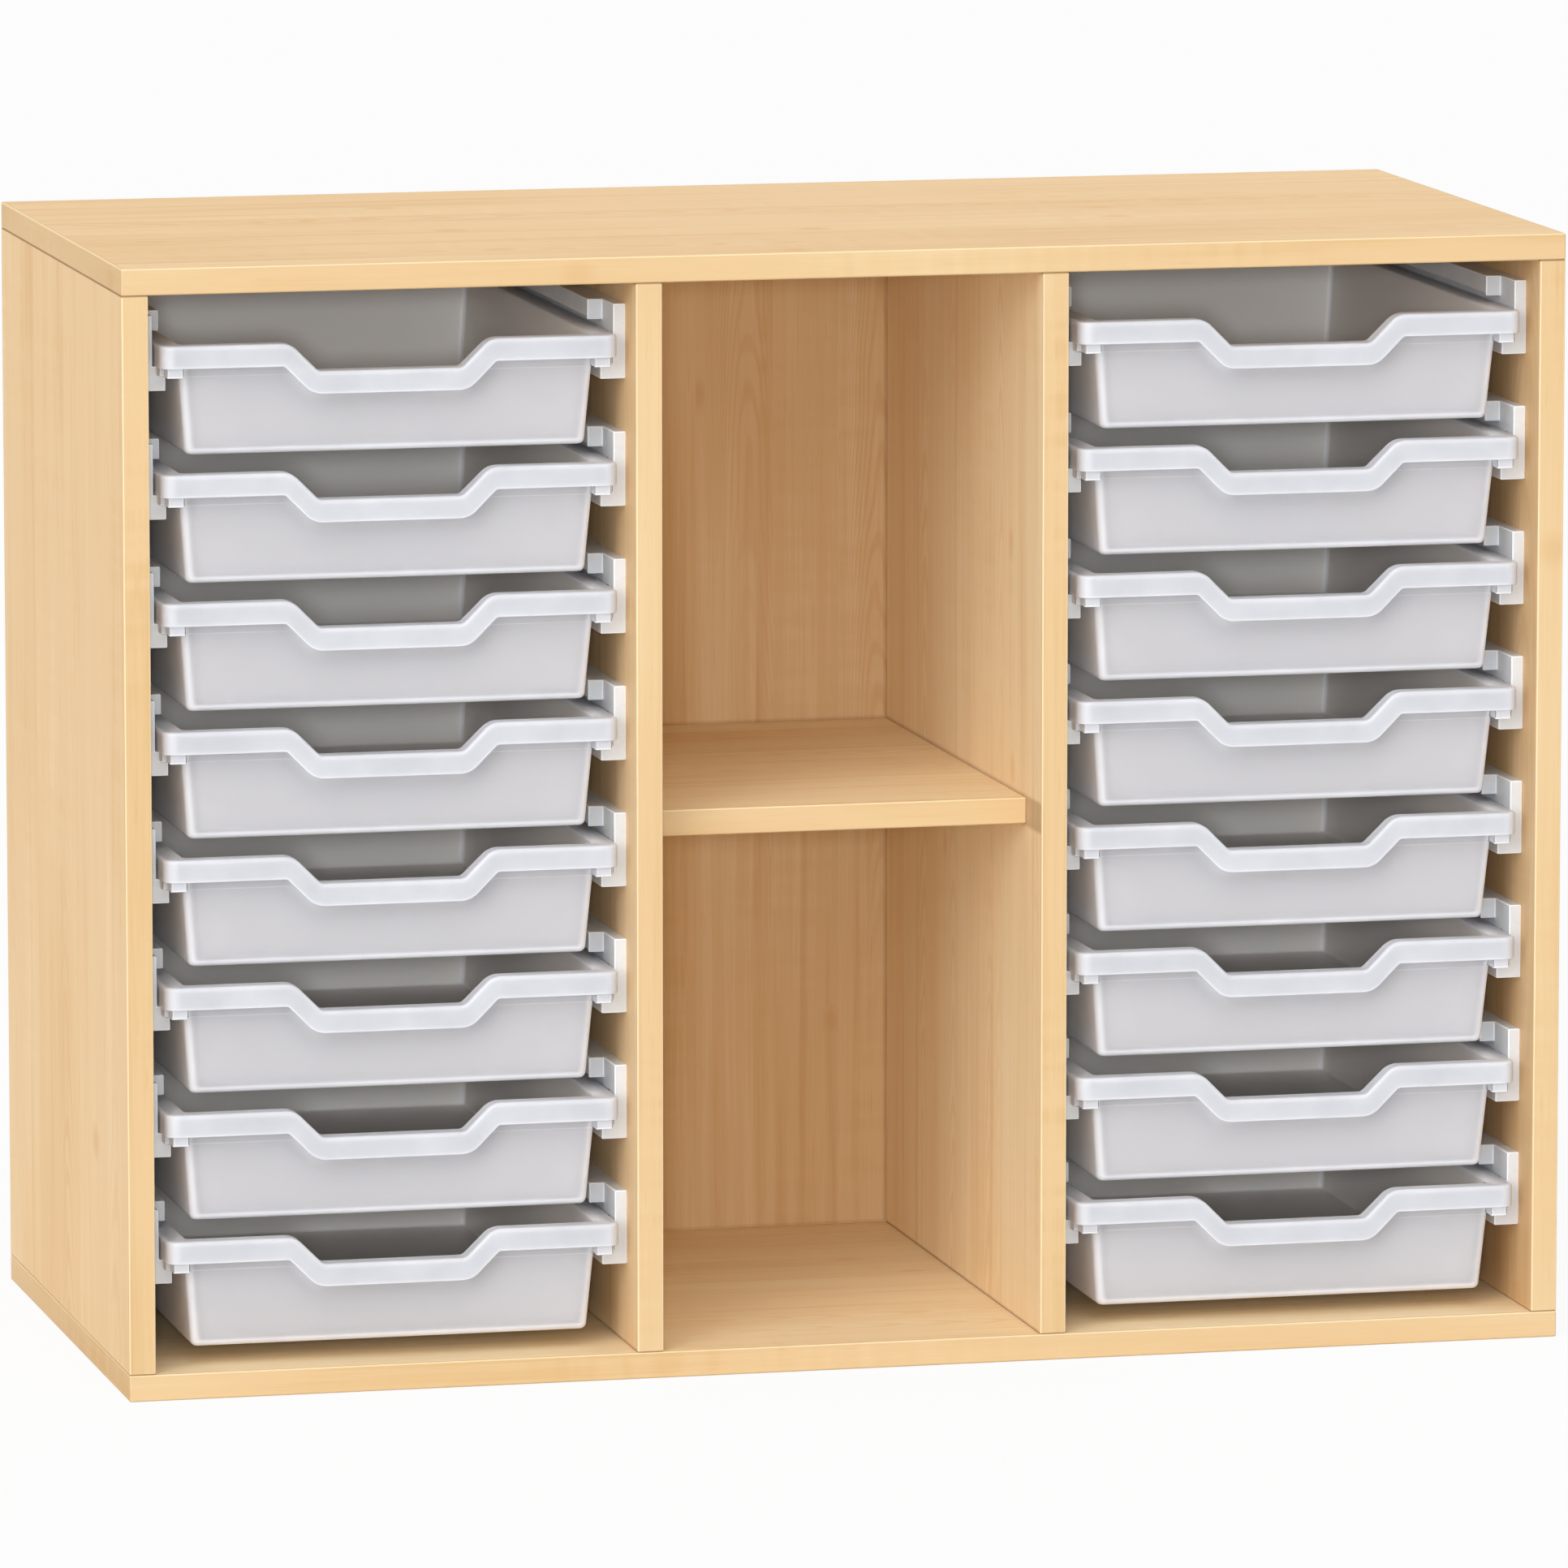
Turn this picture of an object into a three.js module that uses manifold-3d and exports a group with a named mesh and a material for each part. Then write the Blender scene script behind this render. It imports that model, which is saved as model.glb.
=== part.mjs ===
// Classroom tray storage unit: a board carcass with two columns of shallow sliding trays,
// each on its own pair of moulded runners, and an open centre bay with one fixed shelf.
// Millimetres, +Z up. The origin is on the floor under the middle of the unit, and the
// open front faces -Y. The carcass is sized from the tray that it is made to hold.
import * as THREE from "three";
import { mergeVertices } from "three/addons/utils/BufferGeometryUtils.js";
import Module from "manifold-3d";

const wasm = await Module();
wasm.setup();

// Boards
const BOARD = 18;
const EDGE_RADIUS = 1.2;
const BACK_RECESS = 5;

// Tray: sizes over the rim, then its walls
const TRAY_WIDTH = 312;
const TRAY_LENGTH = 427;
const TRAY_HEIGHT = 75;
const TRAY_WALL = 2;
const TRAY_DRAFT_DEG = 4.8;
const TRAY_CORNER_RADIUS = 5.5;
const TRAY_BASE_RADIUS = 3.5;

// Rolled rim of the tray: a flat flange with a skirt that hangs from its edge
const RIM_DROP = 15.3;
const RIM_SIDE_FLANGE = 13.2;
const RIM_FRONT_FLANGE = 11.5;
const RIM_CORNER_RADIUS = 9;

// Dip in the front rim for the fingers, and how far its lower edge stands outside its upper one
const GRIP_HALF_WIDTH = 49;
const GRIP_DIP = 19;
const GRIP_BAND_SPREAD = 4.3;
const GRIP_SHOULDER_RADIUS = 12;
const GRIP_FLOOR_RADIUS = 7;
const GRIP_BELLY_RADIUS = 9;

// Lugs under the front corners of the rim, which stop the tray against its runners
const LUG_DROP = 6.5;
const LUG_THICKNESS = 9;
const LUG_SIDE_INSET = 1;

// Runner: a plate on the board, a ledge under the rim and a lip above it against tipping
const RUNNER_PLATE = 8.5;
const RUNNER_LEDGE_REACH = 8.9;
const RUNNER_LEDGE_HEIGHT = 16.5;
const RUNNER_LIP_REACH = 10.5;
const RUNNER_LIP_HEIGHT = 12;
const RUNNER_LIP_SETBACK = 33;
const RUNNER_NIB_LENGTH = 4;
const RUNNER_NIB_DROP = 1.8;

// Layout of the trays and clearances round them
const TRAYS_PER_COLUMN = 8;
const TRAY_SETBACK = 8;
const RUNNER_SETBACK = 32;
const TRAY_SIDE_GAP = 1.5;
const TRAY_BACK_GAP = 2;
const TRAY_STACK_GAP = 11.5;
const TRAY_FLOOR_GAP = 13;
const TOP_SPACE = 35.5;
const RUNNER_HEAD_ROOM = 6.5;
const RUNNER_BACK_GAP = 5;
const SEAT_GAP = 0.3;

// Centre bay, its shelf and the dowels that carry the shelf
const BAY_WIDTH = 264;
const LOWER_BAY_HEIGHT = 347;
const SHELF_SETBACK = 42;
const DOWEL_DIAMETER = 8;
const DOWEL_BITE = 11;
const DOWEL_EDGE_DISTANCE = 60;
const DOWEL_GAP = 0.3;

// How finely round edges are cut
const CORNER_STEPS = 3;
const BASE_STEPS = 2;
const GRIP_STEPS = 2;
const DOWEL_SIDES = 12;

// Worked out from the sizes above
const COLUMN_WIDTH = TRAY_WIDTH + 2 * (TRAY_SIDE_GAP + RUNNER_PLATE);
const TRAY_PITCH = TRAY_HEIGHT + TRAY_STACK_GAP;
const UNIT_WIDTH = 4 * BOARD + 2 * COLUMN_WIDTH + BAY_WIDTH;
const STACK_HEIGHT = (TRAYS_PER_COLUMN - 1) * TRAY_PITCH + TRAY_HEIGHT;
const INNER_HEIGHT = TRAY_FLOOR_GAP + STACK_HEIGHT + TOP_SPACE;
const UNIT_HEIGHT = INNER_HEIGHT + 2 * BOARD;
const INNER_DEPTH = TRAY_SETBACK + TRAY_LENGTH + TRAY_BACK_GAP;
const UNIT_DEPTH = INNER_DEPTH + BOARD + BACK_RECESS;
const FRONT = -UNIT_DEPTH / 2;
const BACK_FACE = FRONT + INNER_DEPTH;
const DRAFT = Math.tan(THREE.MathUtils.degToRad(TRAY_DRAFT_DEG));

function finish(name, color, roughness) {
  return new THREE.MeshStandardMaterial({ name, color, roughness, metalness: 0 });
}

const maple = finish("maple_board", 0xeccb9a, 0.5);
const frosted = finish("frosted_tray", 0xd9dbe1, 0.4);
const whitePlastic = finish("white_runner", 0xe6e4e2, 0.45);
const hardwood = finish("beech_dowel", 0xd8b07c, 0.7);

const unit = new THREE.Group();

function addPiece(name, geometry, material, x = 0, y = 0, z = 0) {
  const piece = new THREE.Mesh(geometry, material);
  piece.name = name;
  piece.position.set(x, y, z);
  unit.add(piece);
}

// Closed geometry to a solid that can be joined and cut, and back to flat-shaded geometry

function toSolid(geometry) {
  const bare = geometry.clone();
  bare.deleteAttribute("normal");
  bare.deleteAttribute("uv");
  const merged = mergeVertices(bare);
  return new wasm.Manifold(new wasm.Mesh({
    numProp: 3,
    vertProperties: new Float32Array(merged.attributes.position.array),
    triVerts: new Uint32Array(merged.index.array),
  }));
}

function toGeometry(solid) {
  const mesh = solid.getMesh();
  const indexed = new THREE.BufferGeometry();
  indexed.setAttribute("position", new THREE.BufferAttribute(new Float32Array(mesh.vertProperties), 3));
  indexed.setIndex(new THREE.BufferAttribute(new Uint32Array(mesh.triVerts), 1));
  const flat = indexed.toNonIndexed();
  flat.computeVertexNormals();
  return flat;
}

function block(low, high) {
  const size = high.map((value, axis) => value - low[axis]);
  const middle = high.map((value, axis) => (value + low[axis]) / 2);
  return new THREE.BoxGeometry(...size).translate(...middle);
}

// An outline drawn in X and Z, pushed from y = start back to y = end
function prismAlongY(shape, start, end, curveSegments) {
  const settings = { depth: end - start, bevelEnabled: false, curveSegments };
  return new THREE.ExtrudeGeometry(shape, settings).rotateX(Math.PI / 2).translate(0, end, 0);
}

// Corner points of a rounded rectangle, anticlockwise from above
function roundedRing(width, length, radius) {
  const ring = [];
  const centres = [[1, 1, 0], [-1, 1, 1], [-1, -1, 2], [1, -1, 3]];
  for (const [sx, sy, quarter] of centres) {
    for (let step = 0; step <= CORNER_STEPS; step += 1) {
      const angle = (quarter + step / CORNER_STEPS) * Math.PI / 2;
      const x = sx * (width / 2 - radius) + radius * Math.cos(angle);
      const y = sy * (length / 2 - radius) + radius * Math.sin(angle);
      ring.push(new THREE.Vector2(x, y));
    }
  }
  return ring;
}

// A closed solid through rings of equal count, lowest first
function loft(levels) {
  const count = levels[0].ring.length;
  const positions = levels.flatMap(({ ring, z }) => ring.flatMap((point) => [point.x, point.y, z]));
  const index = [];
  for (let level = 0; level + 1 < levels.length; level += 1) {
    for (let k = 0; k < count; k += 1) {
      const a = level * count + k;
      const b = level * count + (k + 1) % count;
      index.push(a, b, b + count, a, b + count, a + count);
    }
  }
  const topStart = (levels.length - 1) * count;
  for (const [a, b, c] of THREE.ShapeUtils.triangulateShape(levels[0].ring, [])) {
    index.push(a, c, b);
    index.push(topStart + a, topStart + b, topStart + c);
  }
  const geometry = new THREE.BufferGeometry();
  geometry.setAttribute("position", new THREE.Float32BufferAttribute(positions, 3));
  geometry.setIndex(index);
  return geometry;
}

// A straight-sided path whose corners are rounded; each corner is [x, z, radius]
function roundedPath(corners) {
  const shape = new THREE.Shape();
  const points = corners.map(([x, z]) => new THREE.Vector2(x, z));
  corners.forEach(([x, z, radius], k) => {
    const here = points[k];
    const before = points[(k + corners.length - 1) % corners.length].clone().sub(here).normalize();
    const after = points[(k + 1) % corners.length].clone().sub(here).normalize();
    const halfAngle = before.angleTo(after) / 2;
    const reach = radius / Math.tan(halfAngle);
    const entry = here.clone().addScaledVector(before, reach);
    const exit = here.clone().addScaledVector(after, reach);
    if (k === 0) {
      shape.moveTo(entry.x, entry.y);
    } else {
      shape.lineTo(entry.x, entry.y);
    }
    if (radius > 0) {
      shape.quadraticCurveTo(x, z, exit.x, exit.y);
    }
  });
  return shape;
}

// Boards

// A board section with its front arrises eased, drawn as depth across and thickness up
function boardSection(depth, thickness) {
  const r = EDGE_RADIUS;
  const shape = new THREE.Shape();
  shape.moveTo(depth, 0);
  shape.lineTo(depth, thickness);
  shape.lineTo(r, thickness);
  shape.absarc(r, thickness - r, r, Math.PI / 2, Math.PI, false);
  shape.absarc(r, r, r, Math.PI, 1.5 * Math.PI, false);
  shape.closePath();
  return shape;
}

// The section pushed along the board's length, with its front edge at y = 0
function boardGeometry(length, depth) {
  const settings = { depth: length, bevelEnabled: false, curveSegments: CORNER_STEPS };
  return new THREE.ExtrudeGeometry(boardSection(depth, BOARD), settings);
}

// Length along X, thickness up from z = 0
function lyingBoard(length, depth) {
  const toLying = new THREE.Matrix4().makeBasis(
    new THREE.Vector3(0, 1, 0), new THREE.Vector3(0, 0, 1), new THREE.Vector3(1, 0, 0));
  return boardGeometry(length, depth).applyMatrix4(toLying).translate(-length / 2, 0, 0);
}

// Length along Z, thickness centred on x = 0
function standingBoard(height, depth) {
  const toStanding = new THREE.Matrix4().makeBasis(
    new THREE.Vector3(0, 1, 0), new THREE.Vector3(-1, 0, 0), new THREE.Vector3(0, 0, 1));
  return boardGeometry(height, depth).applyMatrix4(toStanding).translate(BOARD / 2, 0, 0);
}

const DIVIDER_X = (BAY_WIDTH + BOARD) / 2;
const SIDE_X = (UNIT_WIDTH - BOARD) / 2;
const COLUMN_X = (BAY_WIDTH + COLUMN_WIDTH) / 2 + BOARD;
const SHELF_UNDERSIDE = BOARD + LOWER_BAY_HEIGHT;
const SHELF_DEPTH = INNER_DEPTH - SHELF_SETBACK;
const DOWEL_Z = SHELF_UNDERSIDE + BOARD / 2;
const DOWEL_PLACES = {
  front: FRONT + SHELF_SETBACK + DOWEL_EDGE_DISTANCE,
  rear: BACK_FACE - DOWEL_EDGE_DISTANCE,
};

// A round peg along X
function pegAlongX(radius, length) {
  return new THREE.CylinderGeometry(radius, radius, length, DOWEL_SIDES).rotateZ(Math.PI / 2);
}

// The blind holes of one dowel joint, drilled from the joint face into both boards
function drillDowelHoles(solid, faceX) {
  const hole = pegAlongX(DOWEL_DIAMETER / 2 + DOWEL_GAP, 2 * (DOWEL_BITE + DOWEL_GAP));
  let drilled = solid;
  for (const y of Object.values(DOWEL_PLACES)) {
    drilled = drilled.subtract(toSolid(hole.clone().translate(faceX, y, DOWEL_Z)));
  }
  return drilled;
}

function addCarcass() {
  addPiece("top_panel", lyingBoard(UNIT_WIDTH, UNIT_DEPTH), maple, 0, FRONT, UNIT_HEIGHT - BOARD);
  addPiece("bottom_panel", lyingBoard(UNIT_WIDTH, UNIT_DEPTH), maple, 0, FRONT, 0);
  addPiece("left_side", standingBoard(INNER_HEIGHT, UNIT_DEPTH), maple, -SIDE_X, FRONT, BOARD);
  addPiece("right_side", standingBoard(INNER_HEIGHT, UNIT_DEPTH), maple, SIDE_X, FRONT, BOARD);
  const backLow = [BOARD - UNIT_WIDTH / 2, BACK_FACE, BOARD];
  const backHigh = [UNIT_WIDTH / 2 - BOARD, BACK_FACE + BOARD, UNIT_HEIGHT - BOARD];
  addPiece("back_panel", block(backLow, backHigh), maple);

  const shelfBoard = lyingBoard(BAY_WIDTH, SHELF_DEPTH);
  let shelf = toSolid(shelfBoard.translate(0, FRONT + SHELF_SETBACK, SHELF_UNDERSIDE));
  for (const [name, hand] of [["left", -1], ["right", 1]]) {
    const jointX = hand * BAY_WIDTH / 2;
    const divider = standingBoard(INNER_HEIGHT, INNER_DEPTH).translate(hand * DIVIDER_X, FRONT, BOARD);
    addPiece(`${name}_divider`, toGeometry(drillDowelHoles(toSolid(divider), jointX)), maple);
    shelf = drillDowelHoles(shelf, jointX);
    for (const [place, y] of Object.entries(DOWEL_PLACES)) {
      const dowel = pegAlongX(DOWEL_DIAMETER / 2, 2 * DOWEL_BITE);
      addPiece(`shelf_dowel_${name}_${place}`, dowel, hardwood, jointX, y, DOWEL_Z);
    }
  }
  addPiece("centre_shelf", toGeometry(shelf), maple);
}

// Tray, with the middle of its rim's top face at its own origin

const TRAY_FRONT = -TRAY_LENGTH / 2;
const TRAY_BACK = TRAY_LENGTH / 2;
const BODY_WIDTH = TRAY_WIDTH - 2 * RIM_SIDE_FLANGE;
const BODY_LENGTH = TRAY_LENGTH - 2 * RIM_FRONT_FLANGE;
// Depth over which the front rim follows the dip: past the sloping front wall below it
const GRIP_DEPTH = RIM_FRONT_FLANGE + 2 * TRAY_WALL + (GRIP_DIP + TRAY_WALL) * DRAFT;

// The dip's upper edge from left to right, at the height of the rim
function gripEdge(spread, drop, shoulderRadius, floorRadius) {
  const floorX = GRIP_HALF_WIDTH + spread;
  const shoulderX = floorX + GRIP_DIP;
  return [
    [-shoulderX, -drop, shoulderRadius],
    [-floorX, -drop - GRIP_DIP, floorRadius],
    [floorX, -drop - GRIP_DIP, floorRadius],
    [shoulderX, -drop, shoulderRadius],
  ];
}

// The rim as a solid band, dipped at the front, before it is hollowed from below
function rimBand() {
  const half = TRAY_WIDTH / 2;
  const upper = gripEdge(0, 0, GRIP_SHOULDER_RADIUS, GRIP_FLOOR_RADIUS);
  const lower = gripEdge(GRIP_BAND_SPREAD, RIM_DROP, 0, GRIP_BELLY_RADIUS);
  const outline = [[-half, -RIM_DROP, 0], ...lower, [half, -RIM_DROP, 0], [half, 0, 0]];
  outline.push(...upper.reverse(), [-half, 0, 0]);
  const front = prismAlongY(roundedPath(outline), TRAY_FRONT, TRAY_FRONT + GRIP_DEPTH, GRIP_STEPS);
  const rest = block([-half, TRAY_FRONT + GRIP_DEPTH - TRAY_WALL, -RIM_DROP], [half, TRAY_BACK, 0]);
  return toSolid(front).add(toSolid(rest));
}

// Upright prism of the rim's plan, taken in by an inset all round
function rimPlan(inset, low, high) {
  const radius = RIM_CORNER_RADIUS - inset;
  const ring = roundedRing(TRAY_WIDTH - 2 * inset, TRAY_LENGTH - 2 * inset, radius);
  return toSolid(loft([{ ring, z: low }, { ring, z: high }]));
}

// The drafted tub with a rounded base edge, taken in by an inset on its sides and base
function tub(inset, top) {
  const base = inset - TRAY_HEIGHT;
  const radius = TRAY_BASE_RADIUS - inset;
  const ringAt = (z, tuck) => {
    const narrowing = 2 * (inset + tuck - z * DRAFT);
    return {
      ring: roundedRing(BODY_WIDTH - narrowing, BODY_LENGTH - narrowing, TRAY_CORNER_RADIUS - inset),
      z,
    };
  };
  const levels = [];
  for (let step = 0; step <= BASE_STEPS; step += 1) {
    const angle = step / BASE_STEPS * Math.PI / 2;
    levels.push(ringAt(base + radius * (1 - Math.cos(angle)), radius * (1 - Math.sin(angle))));
  }
  levels.push(ringAt(top, 0));
  return toSolid(loft(levels));
}

// Everything above the dip in the front rim
function gripOpening() {
  const clear = TRAY_WALL;
  const edge = gripEdge(0, 0, GRIP_SHOULDER_RADIUS, GRIP_FLOOR_RADIUS);
  const half = GRIP_HALF_WIDTH + GRIP_DIP + 2 * GRIP_SHOULDER_RADIUS;
  const outline = [[-half, 0, 0], ...edge, [half, 0, 0], [half, clear, 0], [-half, clear, 0]];
  const start = TRAY_FRONT - clear;
  return toSolid(prismAlongY(roundedPath(outline), start, TRAY_FRONT + GRIP_DEPTH, GRIP_STEPS));
}

// A stop lug under one front corner, reaching from the tub's wall to just inside the skirt's face
function stopLug(hand) {
  const rear = TRAY_FRONT + RUNNER_SETBACK - TRAY_SETBACK - SEAT_GAP;
  const inner = BODY_WIDTH / 2 - (RIM_DROP + LUG_DROP) * DRAFT - TRAY_WALL / 2;
  const outer = TRAY_WIDTH / 2 - LUG_SIDE_INSET;
  const xs = [hand * inner, hand * outer].sort((a, b) => a - b);
  const low = [xs[0], rear - LUG_THICKNESS, -RIM_DROP - LUG_DROP];
  return toSolid(block(low, [xs[1], rear, -TRAY_WALL / 2]));
}

function trayGeometry() {
  const below = -RIM_DROP - GRIP_DIP - TRAY_HEIGHT;
  const band = rimBand().intersect(rimPlan(0, below, TRAY_HEIGHT));
  const lowered = rimBand().translate([0, 0, -TRAY_WALL]);
  const underside = lowered.intersect(rimPlan(TRAY_WALL, below, TRAY_HEIGHT));
  const shell = band.subtract(underside).add(tub(0, 0)).add(stopLug(-1)).add(stopLug(1));
  return toGeometry(shell.subtract(tub(TRAY_WALL, TRAY_WALL)).subtract(gripOpening()));
}

// Runner for a board on its left (hand 1) or right (hand -1). Its own origin is on the board's
// face, at the runner's front end and at the height of the tray's rim.
function runnerGeometry(hand) {
  const length = INNER_DEPTH - RUNNER_SETBACK - RUNNER_BACK_GAP;
  const ledgeTop = -RIM_DROP - SEAT_GAP;
  const lipBottom = RUNNER_HEAD_ROOM;
  const foot = ledgeTop - RUNNER_LEDGE_HEIGHT;
  const head = lipBottom + RUNNER_LIP_HEIGHT;
  const section = new THREE.Shape();
  section.moveTo(0, foot);
  section.lineTo(hand * (RUNNER_PLATE + RUNNER_LEDGE_REACH), foot);
  section.lineTo(hand * (RUNNER_PLATE + RUNNER_LEDGE_REACH), ledgeTop);
  section.lineTo(hand * RUNNER_PLATE, ledgeTop);
  section.lineTo(hand * RUNNER_PLATE, head);
  section.lineTo(0, head);
  section.closePath();

  // The lip seen from the side, with the small nib under its front end
  const lip = new THREE.Shape();
  lip.moveTo(RUNNER_LIP_SETBACK, head);
  lip.lineTo(RUNNER_LIP_SETBACK, lipBottom - RUNNER_NIB_DROP);
  lip.lineTo(RUNNER_LIP_SETBACK + RUNNER_NIB_LENGTH / 2, lipBottom - RUNNER_NIB_DROP);
  lip.lineTo(RUNNER_LIP_SETBACK + RUNNER_NIB_LENGTH, lipBottom);
  lip.lineTo(length, lipBottom);
  lip.lineTo(length, head);
  lip.closePath();
  const lipReach = RUNNER_PLATE + RUNNER_LIP_REACH;
  const toSideView = new THREE.Matrix4().makeBasis(
    new THREE.Vector3(0, 1, 0), new THREE.Vector3(0, 0, 1), new THREE.Vector3(1, 0, 0));
  const lipSolid = toSolid(new THREE.ExtrudeGeometry(lip, { depth: lipReach, bevelEnabled: false })
    .applyMatrix4(toSideView).translate(hand > 0 ? 0 : -lipReach, 0, 0));
  return toGeometry(toSolid(prismAlongY(section, 0, length, 1)).add(lipSolid));
}

function addTrayColumns() {
  const tray = trayGeometry();
  const runners = { "1": runnerGeometry(1), "-1": runnerGeometry(-1) };
  for (const [column, hand] of [["left", -1], ["right", 1]]) {
    const columnX = hand * COLUMN_X;
    for (let row = 1; row <= TRAYS_PER_COLUMN; row += 1) {
      const rimZ = BOARD + TRAY_FLOOR_GAP + TRAY_HEIGHT + (TRAYS_PER_COLUMN - row) * TRAY_PITCH;
      addPiece(`tray_${column}_${row}`, tray, frosted, columnX, FRONT + TRAY_SETBACK - TRAY_FRONT, rimZ);
      for (const wall of [-1, 1]) {
        const place = wall === hand ? "side" : "divider";
        const wallX = columnX + wall * COLUMN_WIDTH / 2;
        const name = `runner_${column}_${row}_${place}`;
        addPiece(name, runners[-wall], whitePlastic, wallX, FRONT + RUNNER_SETBACK, rimZ);
      }
    }
  }
}

addCarcass();
addTrayColumns();

export default unit;
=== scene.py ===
"""Looks of a classroom tray storage unit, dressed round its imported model.

Every board, tray and runner is modelled again as a finer mesh in the place that the model gives for it:
boards with edging and eased arrises, trays with a rolled and dipped rim, and runners with softened edges.
Countersunk screws hold the runners. Metres, +Z up, with the open front towards -Y.
"""

import logging
import math
from collections.abc import Callable, Iterator, Sequence
from dataclasses import dataclass, replace
from enum import Enum
from itertools import product
from typing import Any

import bmesh
import bpy
from mathutils import Matrix, Vector


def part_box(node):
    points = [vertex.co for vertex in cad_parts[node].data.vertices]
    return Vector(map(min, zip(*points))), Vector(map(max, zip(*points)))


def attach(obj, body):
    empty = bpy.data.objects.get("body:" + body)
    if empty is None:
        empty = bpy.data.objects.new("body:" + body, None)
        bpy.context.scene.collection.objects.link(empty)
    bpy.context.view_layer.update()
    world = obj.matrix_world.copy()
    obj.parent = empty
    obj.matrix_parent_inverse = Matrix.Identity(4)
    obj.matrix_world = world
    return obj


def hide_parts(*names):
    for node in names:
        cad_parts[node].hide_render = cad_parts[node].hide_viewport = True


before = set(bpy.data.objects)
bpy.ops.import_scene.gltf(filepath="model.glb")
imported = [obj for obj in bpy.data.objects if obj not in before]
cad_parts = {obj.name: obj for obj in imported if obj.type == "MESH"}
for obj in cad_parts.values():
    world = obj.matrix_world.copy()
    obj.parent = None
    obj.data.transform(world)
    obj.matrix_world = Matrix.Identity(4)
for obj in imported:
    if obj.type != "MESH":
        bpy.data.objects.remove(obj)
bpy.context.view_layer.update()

LOG = logging.getLogger("tray_unit")
MM = 0.001
CABINET = "cabinet"
COLUMNS = ("left", "right")
ROWS = range(1, 9)
SIGNS = (-1, 1)

# A facet whose normal lies along an axis to at least this share is square to it.
SQUARE = 0.999
# The profile that makes a bevel round.
ROUND = 0.5

# The curve between the values of a screen and linear light.
SCREEN_WHITE = 255
SCREEN_KNEE = 0.04045
SCREEN_SLOPE = 12.92
SCREEN_LIFT = 0.055
SCREEN_POWER = 2.4

Colour = tuple[float, float, float]
Feed = bpy.types.NodeSocket | float | Colour


def from_screen(red: int, green: int, blue: int) -> Colour:
    """A colour as a screen shows it, from 0 to 255, in the linear values that a shader takes.

    Args:
        red: Red on the screen.
        green: Green on the screen.
        blue: Blue on the screen.

    Returns:
        The linear red, green and blue, from 0 to 1.
    """
    def linear(value: int) -> float:
        """One value of the screen as linear light.

        Args:
            value: The screen's value, from 0 to 255.

        Returns:
            The light, from 0 to 1.
        """
        share = value / SCREEN_WHITE
        if share <= SCREEN_KNEE:
            return share / SCREEN_SLOPE
        return ((share + SCREEN_LIFT) / (1 + SCREEN_LIFT)) ** SCREEN_POWER

    return linear(red), linear(green), linear(blue)


@dataclass(frozen=True)
class Cloud:
    """A cloudy noise.

    Attributes:
        scale: How fine it is, in clouds to a metre.
        detail: How many finer layers it has.
        roughness: How strong those layers are.
    """

    scale: float = 1.0
    detail: float = 2.0
    roughness: float = 0.5


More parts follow.
